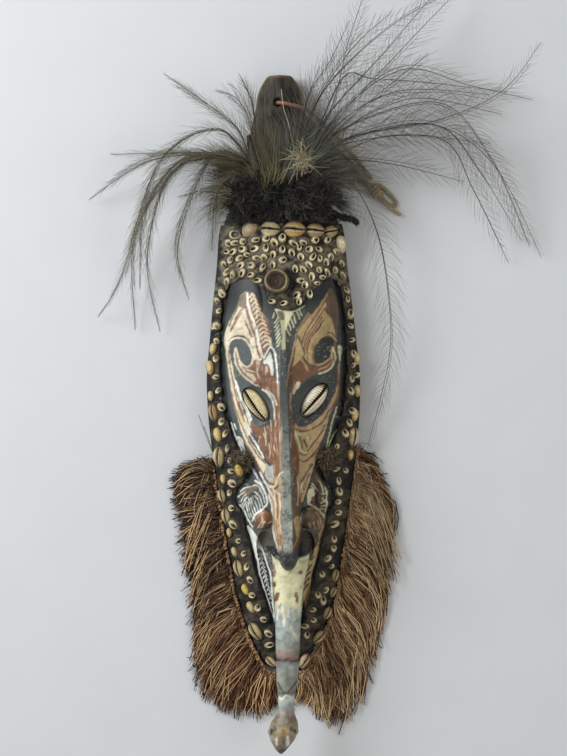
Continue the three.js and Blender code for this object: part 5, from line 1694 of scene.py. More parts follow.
    @staticmethod
    def wear(places: np.ndarray, tone: np.ndarray) -> None:
        """Breaks the paint up with thin places, pale specks and smoke.

        Args:
            places: each point's place across, along and up.
            tone: each point's linear colour, which changes.
        """
        flat = places[:, :2]
        thin = 1 + 0.15 * chance(flat, 7, 41) + 0.12 * chance(flat, 2.2, 42)
        tone *= thin[:, None]
        speck = smooth((chance(flat, 1.2, 43) + 0.4 * chance(flat, 0.8, 46) - 0.55) * 3)
        speck *= smooth(chance(flat, 14, 44) + 0.4)
        speck = 0.4 * speck * smooth((0.3 - tone.mean(1)) / 0.2) * (places[:, 1] < 400)
        tone[:] = over(tone, "#c9c6b8", speck)
        tone[:] = over(tone, "#332f29", smooth((chance(flat, 3.5, 45) - 0.35) * 2.4) * 0.3)


@dataclass
class ShellPaste:
    """The dark paste on the forehead and round the rim, in which the shells are set."""

    relief: Relief
    wood: MaskWood
    shells: "NassaShells"
    side: float = 3.0
    foot: float = 78.0
    top_edge: float = 503.5
    step: float = 1.5
    lost: Spot = Spot(10, 449, 7.5, 9, 1.6)

    def face_outline(self) -> np.ndarray:
        """Gives the inner edge of the paste, round the painted face.

        Returns:
            The outline's points.
        """
        rows = np.arange(120, 424, 2.5)
        hem = np.arange(58, -58.1, -2.0)
        side = self.relief.face_half(rows) + self.relief.paste_inset
        outline = np.vstack([
            np.stack([side, rows], axis=1), np.stack([hem, self.relief.paste_hem(hem)], axis=1),
            np.stack([-side[::-1], rows[::-1]], axis=1),
        ])
        wobble = 0.7 * chance(outline, 6, 51) + 0.35 * chance(outline, 2.4, 52)
        return outline + wobble[:, None]

    def build(self) -> bpy.types.Object:
        """Presses the paste on.

        Returns:
            The finished piece.
        """
        relief = self.relief
        rows = np.arange(self.foot, self.top_edge + 0.1, self.step)
        half = (relief.board_half(rows) + self.side)[:, None]
        face = np.minimum(relief.face_half(rows)[:, None], half - 12)
        middle = face * np.linspace(-1, 1, 61)
        share = np.array([0.12, 0.22, 0.32, 0.42, 0.52, 0.62, 0.72, 0.8, 0.87, 0.92, 0.96, 0.985, 1.0])
        border = face + (half - face) * share
        across = np.hstack([-border[:, ::-1], middle, border])
        along = np.repeat(rows[:, None], across.shape[1], axis=1)
        outline = self.face_outline()
        spots = np.stack([across, along], axis=-1).reshape(-1, 2)
        hem = gap_to(np.vstack([outline, outline[:1]]), spots)
        hem_drop = 2.4 * (1 - np.sqrt(np.clip(1 - (1 - np.clip(hem / 2.6, 0, 1)) ** 2, 0, 1)))
        edge = np.clip(np.abs(across) - (half - 3.2), 0, 3.2) / 3.2
        edge_drop = 5.5 * (1 - np.sqrt(1 - edge**2))
        shape = across.shape
        height = relief.paste(across, along) + self.lumps(spots).reshape(shape)
        height -= hem_drop.reshape(shape) + edge_drop
        height -= self.lost.rise * relief.dome(across, along, self.lost) ** 0.7
        paste = mesh_piece("shell_bed_paste", slab(rows, across, height, np.full(len(rows), 0.2)), PASTE)
        prism = np.stack([outline[:, 0], outline[:, 1], np.full(len(outline), -4.0)], axis=1)
        tall = prism + (0, 0, 130)
        window = mesh_piece("face_window", ringed(np.array([prism, tall])), PASTE)
        bed = self.wood.board("bed", 0.8, 4.0, 41, 4)
        carved(paste, [window, bed])
        paint(paste.data, self.tones(places_of(paste.data)))
        paste.data.set_sharp_from_angle(angle=math.radians(60))
        return hand_in(paste, "paste", "shell_paste")

    def lumps(self, spots: np.ndarray) -> np.ndarray:
        """Gives the hand-pressed lumps' height, with a low ridge squeezed up round each small shell."""
        bumps = 1.1 * chance(spots, 7, 61) + 1.0 * chance(spots, 3.2, 62) + 0.4 * chance(spots, 1.8, 63)
        near = np.full(len(spots), 99.0)
        for across, along, *_ in self.shells.spots():
            near = np.minimum(near, np.hypot(spots[:, 0] - across, spots[:, 1] - along))
        calm = 0.35 + 0.65 * smooth((near - 3) / 3)
        return bumps * calm + 0.9 * np.exp(-(((near - 4.8) / 1.1) ** 2))

    def tones(self, places: np.ndarray) -> np.ndarray:
        """Paints shade in the hollows and dusty highlights on the lumps, and greys the forehead."""
        flat = places[:, :2]
        brow = smooth((places[:, 1] - 415) / 25)[:, None]
        # Paler on the lumps: partly dusty, partly painted highlight, also on the ear lumps
        dust_and_highlight = 0.34 + 0.5 * self.lumps(flat) + 0.4 * chance(flat, 11, 64) + 0.35 * chance(flat, 1.7, 65)
        dust_and_highlight = smooth(dust_and_highlight)[:, None]
        for lump in self.relief.ear_lumps:
            knob = self.relief.dome(*flat.T, lump)
            turn = np.arctan2(places[:, 1] - lump.along, places[:, 0] - lump.across)
            dust_and_highlight = np.maximum(dust_and_highlight, (knob * (1.25 + 0.5 * np.sin(turn * 9 + 3 * knob)))[:, None])
        dark, light = between("#0e0b08", "#17130f", brow), between("#4a4134", "#756d5b", brow)
        # Painted shade in the lost ornament's hollow
        pit_shade = smooth(1.6 * self.relief.dome(*flat.T, self.lost))[:, None]
        return (dark + (light - dark) * np.clip(dust_and_highlight, 0, 1.6) ** 1.5) * (1 - 0.85 * pit_shade)


# Nassa shells: right and down on their enlargement, the way the hole faces in degrees, and the size
BROW_NASSAS = (
    (150, 800, -20), (218, 808, 10), (320, 795, 10), (448, 785, 15), (570, 775, 45), (665, 815, -60), (752,
    780, 90), (870, 825, -30), (985, 820, -30), (1108, 800, 45), (1248, 795, 60), (140, 905, 180, 0.8),
    (215, 905, -150), (325, 885, 180), (450, 885, 200), (570, 880, 90), (752, 905, 90), (940, 880, 90, 0.8),
    (1050, 900, 200), (1160, 900, 150), (1345, 910, -30), (350, 945, 0, 0.7), (655, 950, -90), (855, 925,
    -60), (180, 1000, 45), (280, 985, 20), (455, 988, 0), (550, 985, -45), (960, 985, -80), (1085, 990, 60),
    (1285, 965, -60), (1165, 1020, 90), (110, 1035, -60), (305, 1065, -130), (425, 1080, 170), (650, 1065,
    -90), (752, 1025, 45), (1045, 1075, -60), (1235, 1035, -80), (1410, 1040, -60), (130, 1145, 60), (215,
    1165, -90), (320, 1145, -120), (535, 1110, 70), (895, 1110, -80), (980, 1125, -60), (1160, 1135, -90),
    (1245, 1150, -60), (1330, 1125, -120), (150, 1235, -90), (420, 1185, 180), (1080, 1205, -90), (1420,
    1180, -60), (1195, 1215, 0, 0.7), (490, 1245, 180), (945, 1250, 0), (1005, 1300, -90), (1130, 1280, 0,
    0.7),
)
HEM_NASSAS = (
    (920, 310, -135), (1055, 310, 100), (650, 385, 180), (785, 400, 200), (940, 385, -100), (80, 260, -60),
)
# The files of shells down each side, in the photograph's own pixels
LEFT_NASSAS = (
    (222.7, 292.6), (218.7, 310.1), (217.8, 324.7), (217, 339.9), (216.6, 358), (216.5, 376), (218.3, 390),
    (221.7, 406), (222.1, 421), (225.5, 433.7), (227.8, 449), (231.3, 459.8), (231.7, 470.4), (232.4,
    482.6), (229.9, 493), (231.5, 508), (233.1, 523.7), (238.3, 541), (244, 553.7), (246.9, 567.7), (250,
    579.3), (252.7, 595.4), (258, 608.8), (263.4, 620), (268.8, 633.8), (268.8, 646.3), (217.2, 299), (214,
    325),
)
RIGHT_NASSAS = (
    (346.9, 291), (347.2, 300), (349.8, 315), (350.7, 326.7), (352.7, 340.5), (353, 356), (353.5, 365.8),
    (357.3, 376), (351.2, 380), (350.7, 393), (352.7, 412.5), (349.2, 424.5), (344.9, 435), (336.4, 447.7),
    (345.2, 472), (336.4, 469.5), (338, 482.5), (338.4, 492.8), (337.6, 503), (338, 514), (334.5, 525),
    (333.4, 541), (332.8, 550), (326.6, 559.6), (331.3, 568), (321.7, 575.7), (325.9, 591), (317.2, 596),
    (322.3, 603), (313.2, 611), (313.7, 622), (305.6, 627.5), (306.5, 637),
)


@dataclass
class NassaShells:
    """The small cut shells, set close together in the paste."""

    relief: Relief
    length: float = 8.9
    width: float = 7.3
    rise: float = 3.6
    sides: int = 12

    def shape(self) -> bpy.types.Object:
        """Builds one shell: a cream rim round a dark hole that lies off centre.

        Returns:
            The shape that is copied, one unit long.
        """
        # Cream on the rim, browner down the sides partly with painted shade; the hole's near black is painted
        # shade
        look = ((1.0, 1.0, 0.0, "#3d3222"), (0.99, 0.99, 0.45, "#8f7d57"), (0.76, 0.8, 0.98, "#e9dfbd"),
                (0.44, 0.56, 0.8, "#b9a97c"), (0.27, 0.42, 0.1, "#060403"))
        angle = np.arange(self.sides) * 2 * np.pi / self.sides
        rings = []
        for wide, long, up, _ in look:
            shift = 1 - long
            rings.append(np.stack([0.5 * self.width * (wide * np.cos(angle) + 0.42 * shift),
                                   0.5 * self.length * (long * np.sin(angle) + 0.75 * shift),
                                   np.full(self.sides, self.rise * up)], axis=1))
        tones = np.repeat([linear(colour) for *_, colour in look], self.sides, axis=0)
        return loose_shape("nassa", ringed(np.array(rings)), SMALL_SHELL, tones, 70, MM)

    def spots(self) -> np.ndarray:
        """Gives each shell's place across and along, the way its hole faces and its size.

        Returns:
            One row for each shell.
        """
        rows = []
        for sheet, group in ((BROW, BROW_NASSAS), (FACE, HEM_NASSAS)):
            places = sheet.mm([spot[:2] for spot in group])
            rows += [(*place, *spot[2:], 1.0)[:4] for place, spot in zip(places, group)]
        rng = np.random.default_rng(11)
        for file, way in ((LEFT_NASSAS, 20), (RIGHT_NASSAS, 160)):
            for place in WHOLE.mm(file):
                rows.append((*place, way + rng.uniform(-70, 70), rng.uniform(0.8, 1.12)))
        return np.array(rows)

    def build(self, tree: Tree) -> bpy.types.Object:
        """Sets all the shells.

        Args:
            tree: the tree that sets a shape on each point.

        Returns:
            The finished piece.
        """
        rng = np.random.default_rng(12)
        places, turns, sizes = [], [], []
        for across, along, way, size in self.spots():
            seat = self.relief.seat(across, along, way - 90, self.relief.paste, -0.4, 0.3)
            tilt = Matrix.Rotation(math.radians(rng.uniform(-24, 12)), 4, "X")
            places.append(seat.translation)
            turns.append((seat @ tilt).to_euler())
            sizes.append(size * rng.uniform((0.78, 0.88, 0.9), (1.08, 1.12, 1.1)))
        piece = set_copies("nassa_shells", places, turns, sizes, self.shape(), SMALL_SHELL, tree)
        return hand_in(piece, "shell")


class Side(Enum):
    """Which side of a cowrie shows."""

    SLIT = "slit"
    BACK = "back"
    BROKEN = "broken open"


@dataclass(frozen=True)
class CowrieSpot:
    """One cowrie's place, length, turn in degrees, shown side, colour, proportions and slit's place."""

    across: float
    along: float
    length: float
    turn: float
    side: Side
    colour: str = "#d8c27e"
    wide: float = 0.3
    high: float = 0.3
    slit: float = 0.0


BROW_COWRIES = (
    CowrieSpot(-44, 492, 12, 80, Side.BROKEN, "#b7ab8e", 0.36),
    CowrieSpot(-30, 497.5, 18.5, -35, Side.BACK, "#a39477", 0.4),
    CowrieSpot(-10.3, 496.6, 19, 90, Side.SLIT, "#d6c998", 0.41),
    CowrieSpot(12.5, 496, 21, 90, Side.SLIT, "#c0a262", 0.4),
    CowrieSpot(32, 495, 18, 90, Side.SLIT, "#a58a5a", 0.42),
    CowrieSpot(46.5, 494.4, 14.5, 105, Side.SLIT, "#ae9765", 0.42),
    CowrieSpot(56.5, 482.5, 17.5, 10, Side.BACK, "#ddd2ae"),
)
LEFT_COWRIES = (
    CowrieSpot(-66.5, 384, 12, -15, Side.BACK, "#c4b47f"),
    CowrieSpot(-69.8, 366, 14, 5, Side.BACK, "#c7b074"),
    CowrieSpot(-69.5, 339, 10, 0, Side.BACK, "#c2b286"),
    CowrieSpot(-66.5, 323, 17, 12, Side.SLIT, "#a98555"),
    CowrieSpot(-62.8, 302, 14, 12, Side.BACK, "#cfb978"),
    CowrieSpot(-61.5, 280.5, 20, 0, Side.SLIT, "#dccb9c"),
    CowrieSpot(-42.6, 269, 13, 5, Side.BACK, "#dabc55"),
    CowrieSpot(-58.5, 259.5, 9.5, 5, Side.BACK, "#d0b675"),
    CowrieSpot(-60, 243, 13.5, 12, Side.SLIT, "#d3bf8f"),
    CowrieSpot(-56, 223.5, 15.5, 10, Side.SLIT, "#d8c593"),
    CowrieSpot(-53.5, 208, 9, 5, Side.BACK, "#cbb27a"),
    CowrieSpot(-48.5, 189.5, 10, 20, Side.BACK, "#bfae84"),
    CowrieSpot(-44.5, 173.5, 17, 15, Side.SLIT, "#d6c08c"),
    CowrieSpot(-38.5, 153.5, 11.5, 25, Side.BACK, "#dcbb4d"),
    CowrieSpot(-33.5, 136.5, 12, 30, Side.BACK, "#c9b88a"),
    CowrieSpot(-29, 113, 19, 35, Side.SLIT, "#d9c792"),
    CowrieSpot(-14.8, 83.5, 13.5, 50, Side.SLIT, "#d2be8c"),
)
RIGHT_COWRIES = (
    CowrieSpot(71, 373, 12, -5, Side.BACK, "#c9b88e"),
    CowrieSpot(70.5, 342, 12, 0, Side.BACK, "#bda878"),
    CowrieSpot(67.5, 318.7, 12, -10, Side.BACK, "#cdb371"),
    CowrieSpot(65.5, 298, 19, -3, Side.SLIT, "#cdb88b"),
    CowrieSpot(62.8, 281, 10, 0, Side.BACK, "#cfb064"),
    CowrieSpot(46.8, 165.5, 12.5, -12, Side.SLIT, "#bfa475"),
    CowrieSpot(44.5, 149.5, 11, -20, Side.SLIT, "#b99d6d"),
    CowrieSpot(38.7, 129.5, 13.5, -22, Side.SLIT, "#bda272"),
    CowrieSpot(30.2, 106.5, 15.5, -42, Side.SLIT, "#c7ad7b"),
    CowrieSpot(16, 84, 16, -28, Side.SLIT, "#c9b17f"),
)


@dataclass
class Cowries:
    """The big shells: two eyes, the brow row and the rim."""

    relief: Relief
    foot: float = 0.15
    teeth: float = 8.0
    eye_steps: int = 34
    rim_steps: int = 18

    def body(self, spot: CowrieSpot, fine: int) -> tuple[Shell, np.ndarray, np.ndarray]:
        """Models one shell lying on its flat side.

        Args:
            spot: its place and look.
            fine: how many steps the shell has across.

        Returns:
            The body, and each point's place across and along it from -1 to 1.
        """
        side, length = spot.side, spot.length
        count, rows = fine + 1, int(fine * (4 if side is Side.SLIT else 1.6)) + 1
        x, y = np.meshgrid(np.linspace(-1, 1, count), np.linspace(-1, 1, rows))
        u, v = x * np.sqrt(1 - y**2 / 2), y * np.sqrt(1 - x**2 / 2)
        dome = np.sqrt(np.clip(1 - u**2 - v**2, 0, 1))
        up = (np.minimum(dome, 0.9) + 0.05 * dome + self.foot) * spot.high
        if side is Side.SLIT:
            off = np.abs(u - self.slit_line(spot, v))
            run = smooth((0.96 - np.abs(v)) / 0.1)
            slit = np.exp(-((off / 0.11) ** 2)) * run
            lips = np.exp(-(((off - 0.27) / 0.15) ** 2)) * run
            teeth = np.cos(v * np.pi * self.teeth * 2) * np.exp(-(((off - 0.22) / 0.16) ** 2)) * run
            up = up - 0.22 * slit * spot.high / 0.3 + 0.04 * lips + 0.018 * teeth
        elif side is Side.BROKEN:
            up = up * (1 - 0.75 * smooth((0.72 - np.hypot(u - 0.1, v + 0.1)) / 0.12))
        else:
            rim = np.exp(-(((np.hypot(u, v) - 0.86) / 0.1) ** 2))
            up = up + 0.03 * rim - 0.02 * np.exp(-(((np.hypot(u, v) - 0.68) / 0.08) ** 2))
        taper = 1 + 0.14 * v
        top = np.stack([u * spot.wide * length * taper, v * 0.5 * length, up * length * taper], axis=-1)
        low = top * (0.9, 0.9, 0)
        faces, start = strip_faces(rows, count), rows * count
        faces += [[start + i for i in face[::-1]] for face in faces]
        ring = (list(range(count)) + [i * count + count - 1 for i in range(1, rows)]
                + [(rows - 1) * count + i for i in range(count - 2, -1, -1)]
                + [i * count for i in range(rows - 2, 0, -1)])
        for a, b in zip(ring, ring[1:] + ring[:1]):
            faces.append([b, a, start + a, start + b])
        shell = Shell(np.vstack([top.reshape(-1, 3), low.reshape(-1, 3)]), faces)
        return shell, np.tile(u.ravel(), 2), np.tile(v.ravel(), 2)

    @staticmethod
    def slit_line(spot: CowrieSpot, v: np.ndarray) -> np.ndarray:
        """Gives the slit's place across, which bends a little along the shell."""
        return spot.slit + 0.07 * np.sin(v * 2.4)

    def tone(self, u: np.ndarray, v: np.ndarray, spot: CowrieSpot) -> np.ndarray:
        """Colours one shell.

        Args:
            u: each point's place across it.
            v: each point's place along it.
            spot: its place and look.

        Returns:
            Linear colours.
        """
        reach = np.hypot(u, v)
        brown, cream = "#4f3620", "#e9ddb9"
        if spot.side is Side.BROKEN:
            # The broken shell's inside is near black: painted shade
            inside = smooth((0.74 - np.hypot(u - 0.1, v + 0.1)) / 0.1)[:, None]
            return between("#c9bc98", "#1b1510", inside)
        if spot.side is Side.BACK:
            ring = np.exp(-(((reach - 0.75) / 0.13) ** 2))[:, None] * 0.55
            tone = over(between(spot.colour, "#7c6136", ring), cream, smooth((0.55 - reach) / 0.4) * 0.3)
            mottle = chance(np.stack([u * 5, v * 7 + spot.along], axis=1), 1, 91) * 1.5
            return over(tone, "#8a7048", smooth(mottle) * 0.35)
        gap = u - self.slit_line(spot, v)
        off = np.abs(gap)
        run = smooth((0.97 - np.abs(v)) / 0.1)
        tone = between(spot.colour, cream, smooth((0.55 - off) / 0.35)[:, None] * 0.75)
        comb = 0.5 - 0.5 * np.cos(v * np.pi * self.teeth * 2)
        far = np.where(gap < 0, 0.62, 0.5 if spot.slit == 0 else 0.24)
        tone = over(tone, brown, 0.85 * comb**1.5 * smooth((far - off) / 0.2) * run)
        # The slit is near black: painted shade inside the shell
        tone = over(tone, "#0f0805", smooth((0.17 - off) / 0.08) * run)
        tone = over(tone, brown, smooth((reach - 0.8) / 0.2) * 0.75)
        if spot.slit and spot.turn < 0:
            tone = over(tone, "#4a1f1a", smooth((v - 0.62) / 0.2) * 0.8)
        return tone

    def set_in(self, node: str, spot: CowrieSpot, ground: Callable, fine: int) -> bpy.types.Object:
        """Sets one shell where its solid is.

        Args:
            node: the solid that it stands for.
            spot: its place and look.
            ground: the height that it stands on.
            fine: how many steps it has across.

        Returns:
            The finished piece.
        """
        shell, u, v = self.body(spot, fine)
        level = 0.0 if node.startswith("eye") else 0.6
        shell = moved(shell, self.relief.seat(spot.across, spot.along, spot.turn, ground, 0, level))
        shell.points[:, 2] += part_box(node)[1][2] / MM - shell.points[:, 2].max()
        piece = mesh_piece(f"{node}_shell", shell, SHELL, self.tone(u, v, spot), 60)
        return hand_in(piece, "shell", node)

    def build(self) -> None:
        """Sets the eyes, the brow row and both sides of the rim."""
        relief = self.relief
        looks = (("eye_left", "#e4d5a8", -0.14), ("eye_right", "#e4dcc6", -0.02))
        for (name, colour, slit), eye in zip(looks, relief.eyes):
            spot = CowrieSpot(eye.across, eye.along, eye.length, eye.turn, Side.SLIT, colour, 0.23, 0.2, slit)
            self.set_in(name, spot, relief.wood, self.eye_steps)
        for prefix, group in (("brow_cowrie", BROW_COWRIES), ("rim_cowrie_left", LEFT_COWRIES),
                              ("rim_cowrie_right", RIGHT_COWRIES)):
            for i, spot in enumerate(group, 1):
                self.set_in(f"{prefix}_{i}", spot, relief.paste, self.rim_steps)


@dataclass
class ForeheadDisc:
    """The ringed shell disc in the forehead."""

    relief: Relief
    across: float = -4.9
    along: float = 445.6
    radius: float = 12.2
    rise: float = 10.2

    def build(self) -> bpy.types.Object:
        """Turns the disc with its rings and its deep red middle.

        Returns:
            The finished piece.
        """
        r, h = self.radius, self.rise
        outline = [(0.01, 0), (r - 0.8, 0), (r, 1.6), (r - 0.5, 4), (r - 1.6, h - 0.5), (r - 2.3, h),
                   (r - 2.9, h - 0.3), (r - 3.5, h - 1.6), (r - 4.1, h - 2.6), (r - 4.7, h - 2.4),
                   (r - 5.3, h - 2.2), (r - 5.9, h - 3.2), (r - 6.6, h - 4), (r - 7.3, h - 3.8),
                   (r - 8, h - 4.2), (r - 9, h - 4.6), (r - 10, h - 4.8), (0.9, h - 4.2), (0.01, h - 4)]
        body = lathe(outline, 40)
        reach = np.hypot(body.points[:, 0], body.points[:, 1])
        angle = np.arctan2(body.points[:, 1], body.points[:, 0])
        tone = ramp(reach, (
            (0, "#5a201a"), (1.4, "#3a130d"), (2.4, "#1a0d09"), (4, "#2e1e14"), (4.8, "#3f2c1e"),
            (5.6, "#1c130c"), (6.6, "#46351f"), (7.6, "#33251a"), (8.4, "#5c4b33"), (9.6, "#a3946f"),
            (10.6, "#8d7c5a"), (11.4, "#63543c"), (12.6, "#3b3022"),
        ))
        tone *= (1 + 0.15 * np.sin(3 * angle + reach))[:, None]
        disc = moved(body, self.relief.seat(self.across, self.along, 0, self.relief.wood, 1.2))
        disc.points += 0.45 * drift(disc.points[:, :2], 5, 71)
        piece = mesh_piece("forehead_shell_disc", disc, RINGED_SHELL, tone, 60)
        return hand_in(piece, "shell", "forehead_disc")


@dataclass
class FurBand:
    """The band of black fur across the top of the forehead."""

    centre: tuple[float, float, float] = (-0.8, 526.5, 31)
    reach: tuple[float, float, float] = (55.5, 22.5, 22)
    stub: Points = ((38, 518, 32), (57, 508, 29), (68, 506, 27.5), (73, 501, 26))
    hairs: int = 6500
    stub_hairs: int = 900
    hair: float = 9.0

    def skin(self, angles: np.ndarray) -> tuple[np.ndarray, np.ndarray]:
        """Gives places on the band's lumpy skin and the way out from them.

        Args:
            angles: turns round the band's long axis and places along it.

        Returns:
            The places and the outward directions.
        """
        turn, share = angles.T
        flat = np.clip(1 - np.abs(share) ** 8, 0, 1) ** 0.42
        out = np.stack([share, flat * np.cos(turn), flat * np.sin(turn)], axis=1)
        swell = 0.86 + 0.16 * chance(out * (5, 2.5, 2.5), 1, 81)[:, None]
        places = np.array(self.centre) + out * np.array(self.reach) * swell
        ends = smooth((np.abs(share) - 0.55) / 0.4)
        places[:, 1] += 3 * (1 - share**2) - 1.5 - 3 * ends
        places[:, 2] += 4 * ends
        return places, unit(out / np.array(self.reach))

    def build(self, tree: Tree) -> bpy.types.Object:
        """Grows the hairs over a dark skin.

        Args:
            tree: the tree that spins strands.

        Returns:
            The finished piece.
        """
        rng = np.random.default_rng(21)
        count = self.hairs
        angles = np.stack([rng.uniform(-0.4, np.pi + 0.6, count), rng.uniform(-0.985, 0.985, count)], axis=1)
        root, out = self.skin(angles)
        comb = np.stack([0.45 * (root[:, 0] - self.centre[0]) / self.reach[0],
                         0.3 * (root[:, 1] - self.centre[1]) / self.reach[1], np.full(count, -0.3)], axis=1)
        way = unit(out + comb + 0.9 * drift(root, 6, 82) + rng.normal(0, 0.25, (count, 3)))
        long = self.hair * rng.uniform(0.4, 1.3, count)[:, None]
        curl = 0.55 * drift(root, 4, 86) + rng.normal(0, 0.25, (count, 3))
        lines = np.stack([root - out * 1.5, root + (way + curl * 0.15) * long * 0.4,
                          root + (way + curl * 0.8) * long * 0.78,
                          root + (way * 0.8 + curl * 1.6) * long], axis=1)
        lines[..., 2] = np.maximum(lines[..., 2], 0.6)
        # The hairs stop short of the row of cowries below them
        low = 503.5 + 1.5 * chance(root, 5, 91)[:, None]
        lines[..., 1] = np.where(lines[..., 1] < low, low + 0.15 * (lines[..., 1] - low), lines[..., 1])
        # Paler tips: partly the fur's own grey, partly painted highlight
        tip = np.clip(rng.uniform(0, 1, count) ** 1.6 + 0.5 * chance(root, 9, 89), 0, 1)
        tip *= 0.55 + 0.45 * smooth(1.6 * chance(root, 5, 90) + 0.3)
        share = np.array([0, 0.2, 0.7, 1.0])[None, :, None] * tip[:, None, None]
        strands = Strands()
        strands.add(lines, (0.4, 0.32, 0.21, 0.07), between("#0d0c0b", "#7b766b", share))
        stub = evenly(curve_through(self.stub), 12)
        count = self.stub_hairs
        pick = rng.integers(0, 11, count)
        side = unit(rng.normal(0, 1, (count, 3)))
        foot, ahead = stub[pick] + side * 1.8, stub[pick + 1] - stub[pick]
        tips = foot + side * rng.uniform(1, 3.4, (count, 1)) + ahead * rng.uniform(0.2, 1, (count, 1))
        strands.add(np.stack([foot - side, foot + side * 0.8, tips], axis=1), (0.34, 0.24, 0.08),
                    linear("#24211d") * rng.uniform(0.5, 2.2, (count, 1, 1)))
        piece = strands.spun("cuscus_fur_band", FUR, tree)
        grid = np.meshgrid(np.linspace(0, 2 * np.pi, 48, endpoint=False), np.linspace(-0.999, 0.999, 40))
        places, _ = self.skin(np.stack([grid[0].ravel(), grid[1].ravel()], axis=1))
        core = ringed(places.reshape(40, 48, 3)).plus(tube(stub, np.linspace(3.6, 2.4, 12), 10))
        body = mesh_piece("fur_skin", core, FUR, linear("#111010"))
        return hand_in(joined_mesh(piece, body), "fur", "fur_band")


@dataclass
class EarTufts:
    """The short singed hair that sticks to the two round lumps beside the face."""

    relief: Relief
    hairs: int = 420

    def build(self, tree: Tree) -> bpy.types.Object:
        """Grows the hair on both lumps.

        Args:
            tree: the tree that spins strands.

        Returns:
            The finished piece.
        """
        rng = np.random.default_rng(27)
        strands = Strands()
        count = self.hairs
        for lump in self.relief.ear_lumps:
            turn, reach = rng.uniform(0, 2 * np.pi, count), np.sqrt(rng.uniform(0, 0.8, count))
            across = lump.across + reach * lump.width * np.cos(turn)
            along = lump.along + reach * lump.length * np.sin(turn)
            foot = np.stack([across, along, self.relief.paste(across, along) - 0.4], axis=1)
            way = np.stack([np.cos(turn) * reach, np.sin(turn) * reach, 1.1 - reach], axis=1)
            way += 0.6 * drift(foot, 4, 101)
            way += rng.normal(0, 0.3, (count, 3))
            long = rng.uniform(1.5, 5, (count, 1))
            curl = rng.normal(0, 0.5, (count, 3))
            lines = np.stack([foot, foot + way * long * 0.5, foot + (way + curl) * long], axis=1)
            pale = np.clip(rng.uniform(0, 1, (count, 1, 1)) * np.array([[0.3], [0.8], [1.1]]), 0, 1)
            strands.add(lines, (0.34, 0.3, 0.12), between("#2a231a", "#948363", pale))
        return hand_in(strands.spun("singed_ear_tufts", FUR, tree), "fur")


def joined_mesh(piece: bpy.types.Object, *others: bpy.types.Object) -> bpy.types.Object:
    """Puts other objects' meshes into a piece and removes them.

    Args:
        piece: the object that stays.
        others: the objects that go into it.

    Returns:
        The same object.
    """
    with bpy.context.temp_override(active_object=piece, selected_editable_objects=[piece, *others]):
        bpy.ops.object.join()
    return piece


# Each feather: its tip's height, how high the quill arches, and its route across and along
LEFT_FEATHERS = (
    (34, 12, ((-29, 558), (-40, 591), (-70, 616), (-110, 646))),
    (44, 8, ((-23, 571), (-26, 614), (-38, 643))),
    (30, 14, ((-25, 572), (-29, 599), (-42, 621), (-61, 630))),
    (6, 30, ((-27, 558), (-60, 590), (-115, 559), (-153, 453), (-178, 416))),
    (12, 20, ((-27, 556), (-46, 566), (-74, 570), (-163, 572))),
    (8, 26, ((-27, 557), (-53, 562), (-91, 567), (-134, 559), (-185, 529))),
    (7, 32, ((-29, 557), (-62, 566), (-98, 559), (-130, 514), (-137, 443))),
    (6, 22, ((-27, 557), (-56, 562), (-91, 560), (-139, 496), (-142, 403))),
    (7, 28, ((-27, 557), (-62, 564), (-105, 548), (-128, 472), (-118, 401))),
    (9, 18, ((-29, 560), (-57, 570), (-77, 545), (-99, 481), (-90, 432))),
    (14, 10, ((-33, 557), (-52, 545), (-63, 524), (-67, 478))),
    (24, 6, ((-33, 557), (-56, 541), (-81, 533), (-97, 530))),
)
RIGHT_FEATHERS = (
    (52, 14, ((18, 556), (25, 616), (47, 652), (67, 692))),
    (44, 10, ((17, 556), (22, 605), (38, 650))),
    (38, 22, ((20, 556), (49, 611), (66, 674), (85, 728))),
    (40, 26, ((18, 556), (30, 605), (66, 661), (107, 701))),
    (30, 30, ((20, 556), (38, 619), (99, 680), (165, 722))),
    (44, 18, ((22, 556), (43, 600), (99, 661), (148, 718))),
    (22, 24, ((24, 556), (47, 591), (121, 670), (174, 726))),
    (48, 12, ((24, 556), (62, 596), (114, 638), (141, 660))),
    (8, 34, ((25, 556), (57, 605), (117, 644), (181, 630), (243, 620))),
    (16, 28, ((22, 556), (59, 636), (88, 636), (142, 633), (218, 627))),
    (12, 24, ((26, 556), (57, 596), (114, 626), (202, 625))),
    (10, 20, ((26, 556), (66, 593), (114, 616), (151, 618), (213, 606))),
    (6, 30, ((26, 556), (62, 591), (150, 613), (201, 560), (239, 479))),
    (6, 26, ((28, 555), (66, 581), (143, 593), (203, 555), (250, 468))),
    (7, 22, ((28, 555), (66, 577), (151, 580), (183, 532), (218, 463))),
    (6, 34, ((28, 555), (68, 580), (147, 591), (189, 548), (232, 483))),
    (60, 20, ((28, 555), (66, 581), (149, 595), (209, 622), (246, 668))),
    (12, 16, ((28, 555), (66, 572), (114, 585), (202, 578))),
    (16, 10, ((30, 556), (61, 562), (113, 556), (176, 541))),
    (10, 14, ((30, 556), (66, 540), (90, 494), (101, 430), (101, 372), (80, 287))),
)
LEFT_ROOT = ((-22, 552.5, 41), (-28, 575, 43), (-33, 600, 45), (-36, 622, 46))
RIGHT_ROOT = ((16, 552.5, 42), (22, 577, 44), (28, 602, 46), (33, 622, 48))
# The fringe's outer edge, from the top of each strip down to the beak
LEFT_FRINGE = (
    (-79, 277), (-104, 268), (-109, 249), (-105, 220), (-100, 182), (-93, 144), (-90, 97), (-86, 59), (-70,
    42), (-48, 32), (-24, 29), (-8, 33),
)
RIGHT_FRINGE = (
    (76, 287), (92, 268), (102, 235), (103, 197), (101, 163), (94, 130), (85, 97), (79, 66), (70, 44), (54,
    23), (38, 20), (24, 36), (8, 42),
)
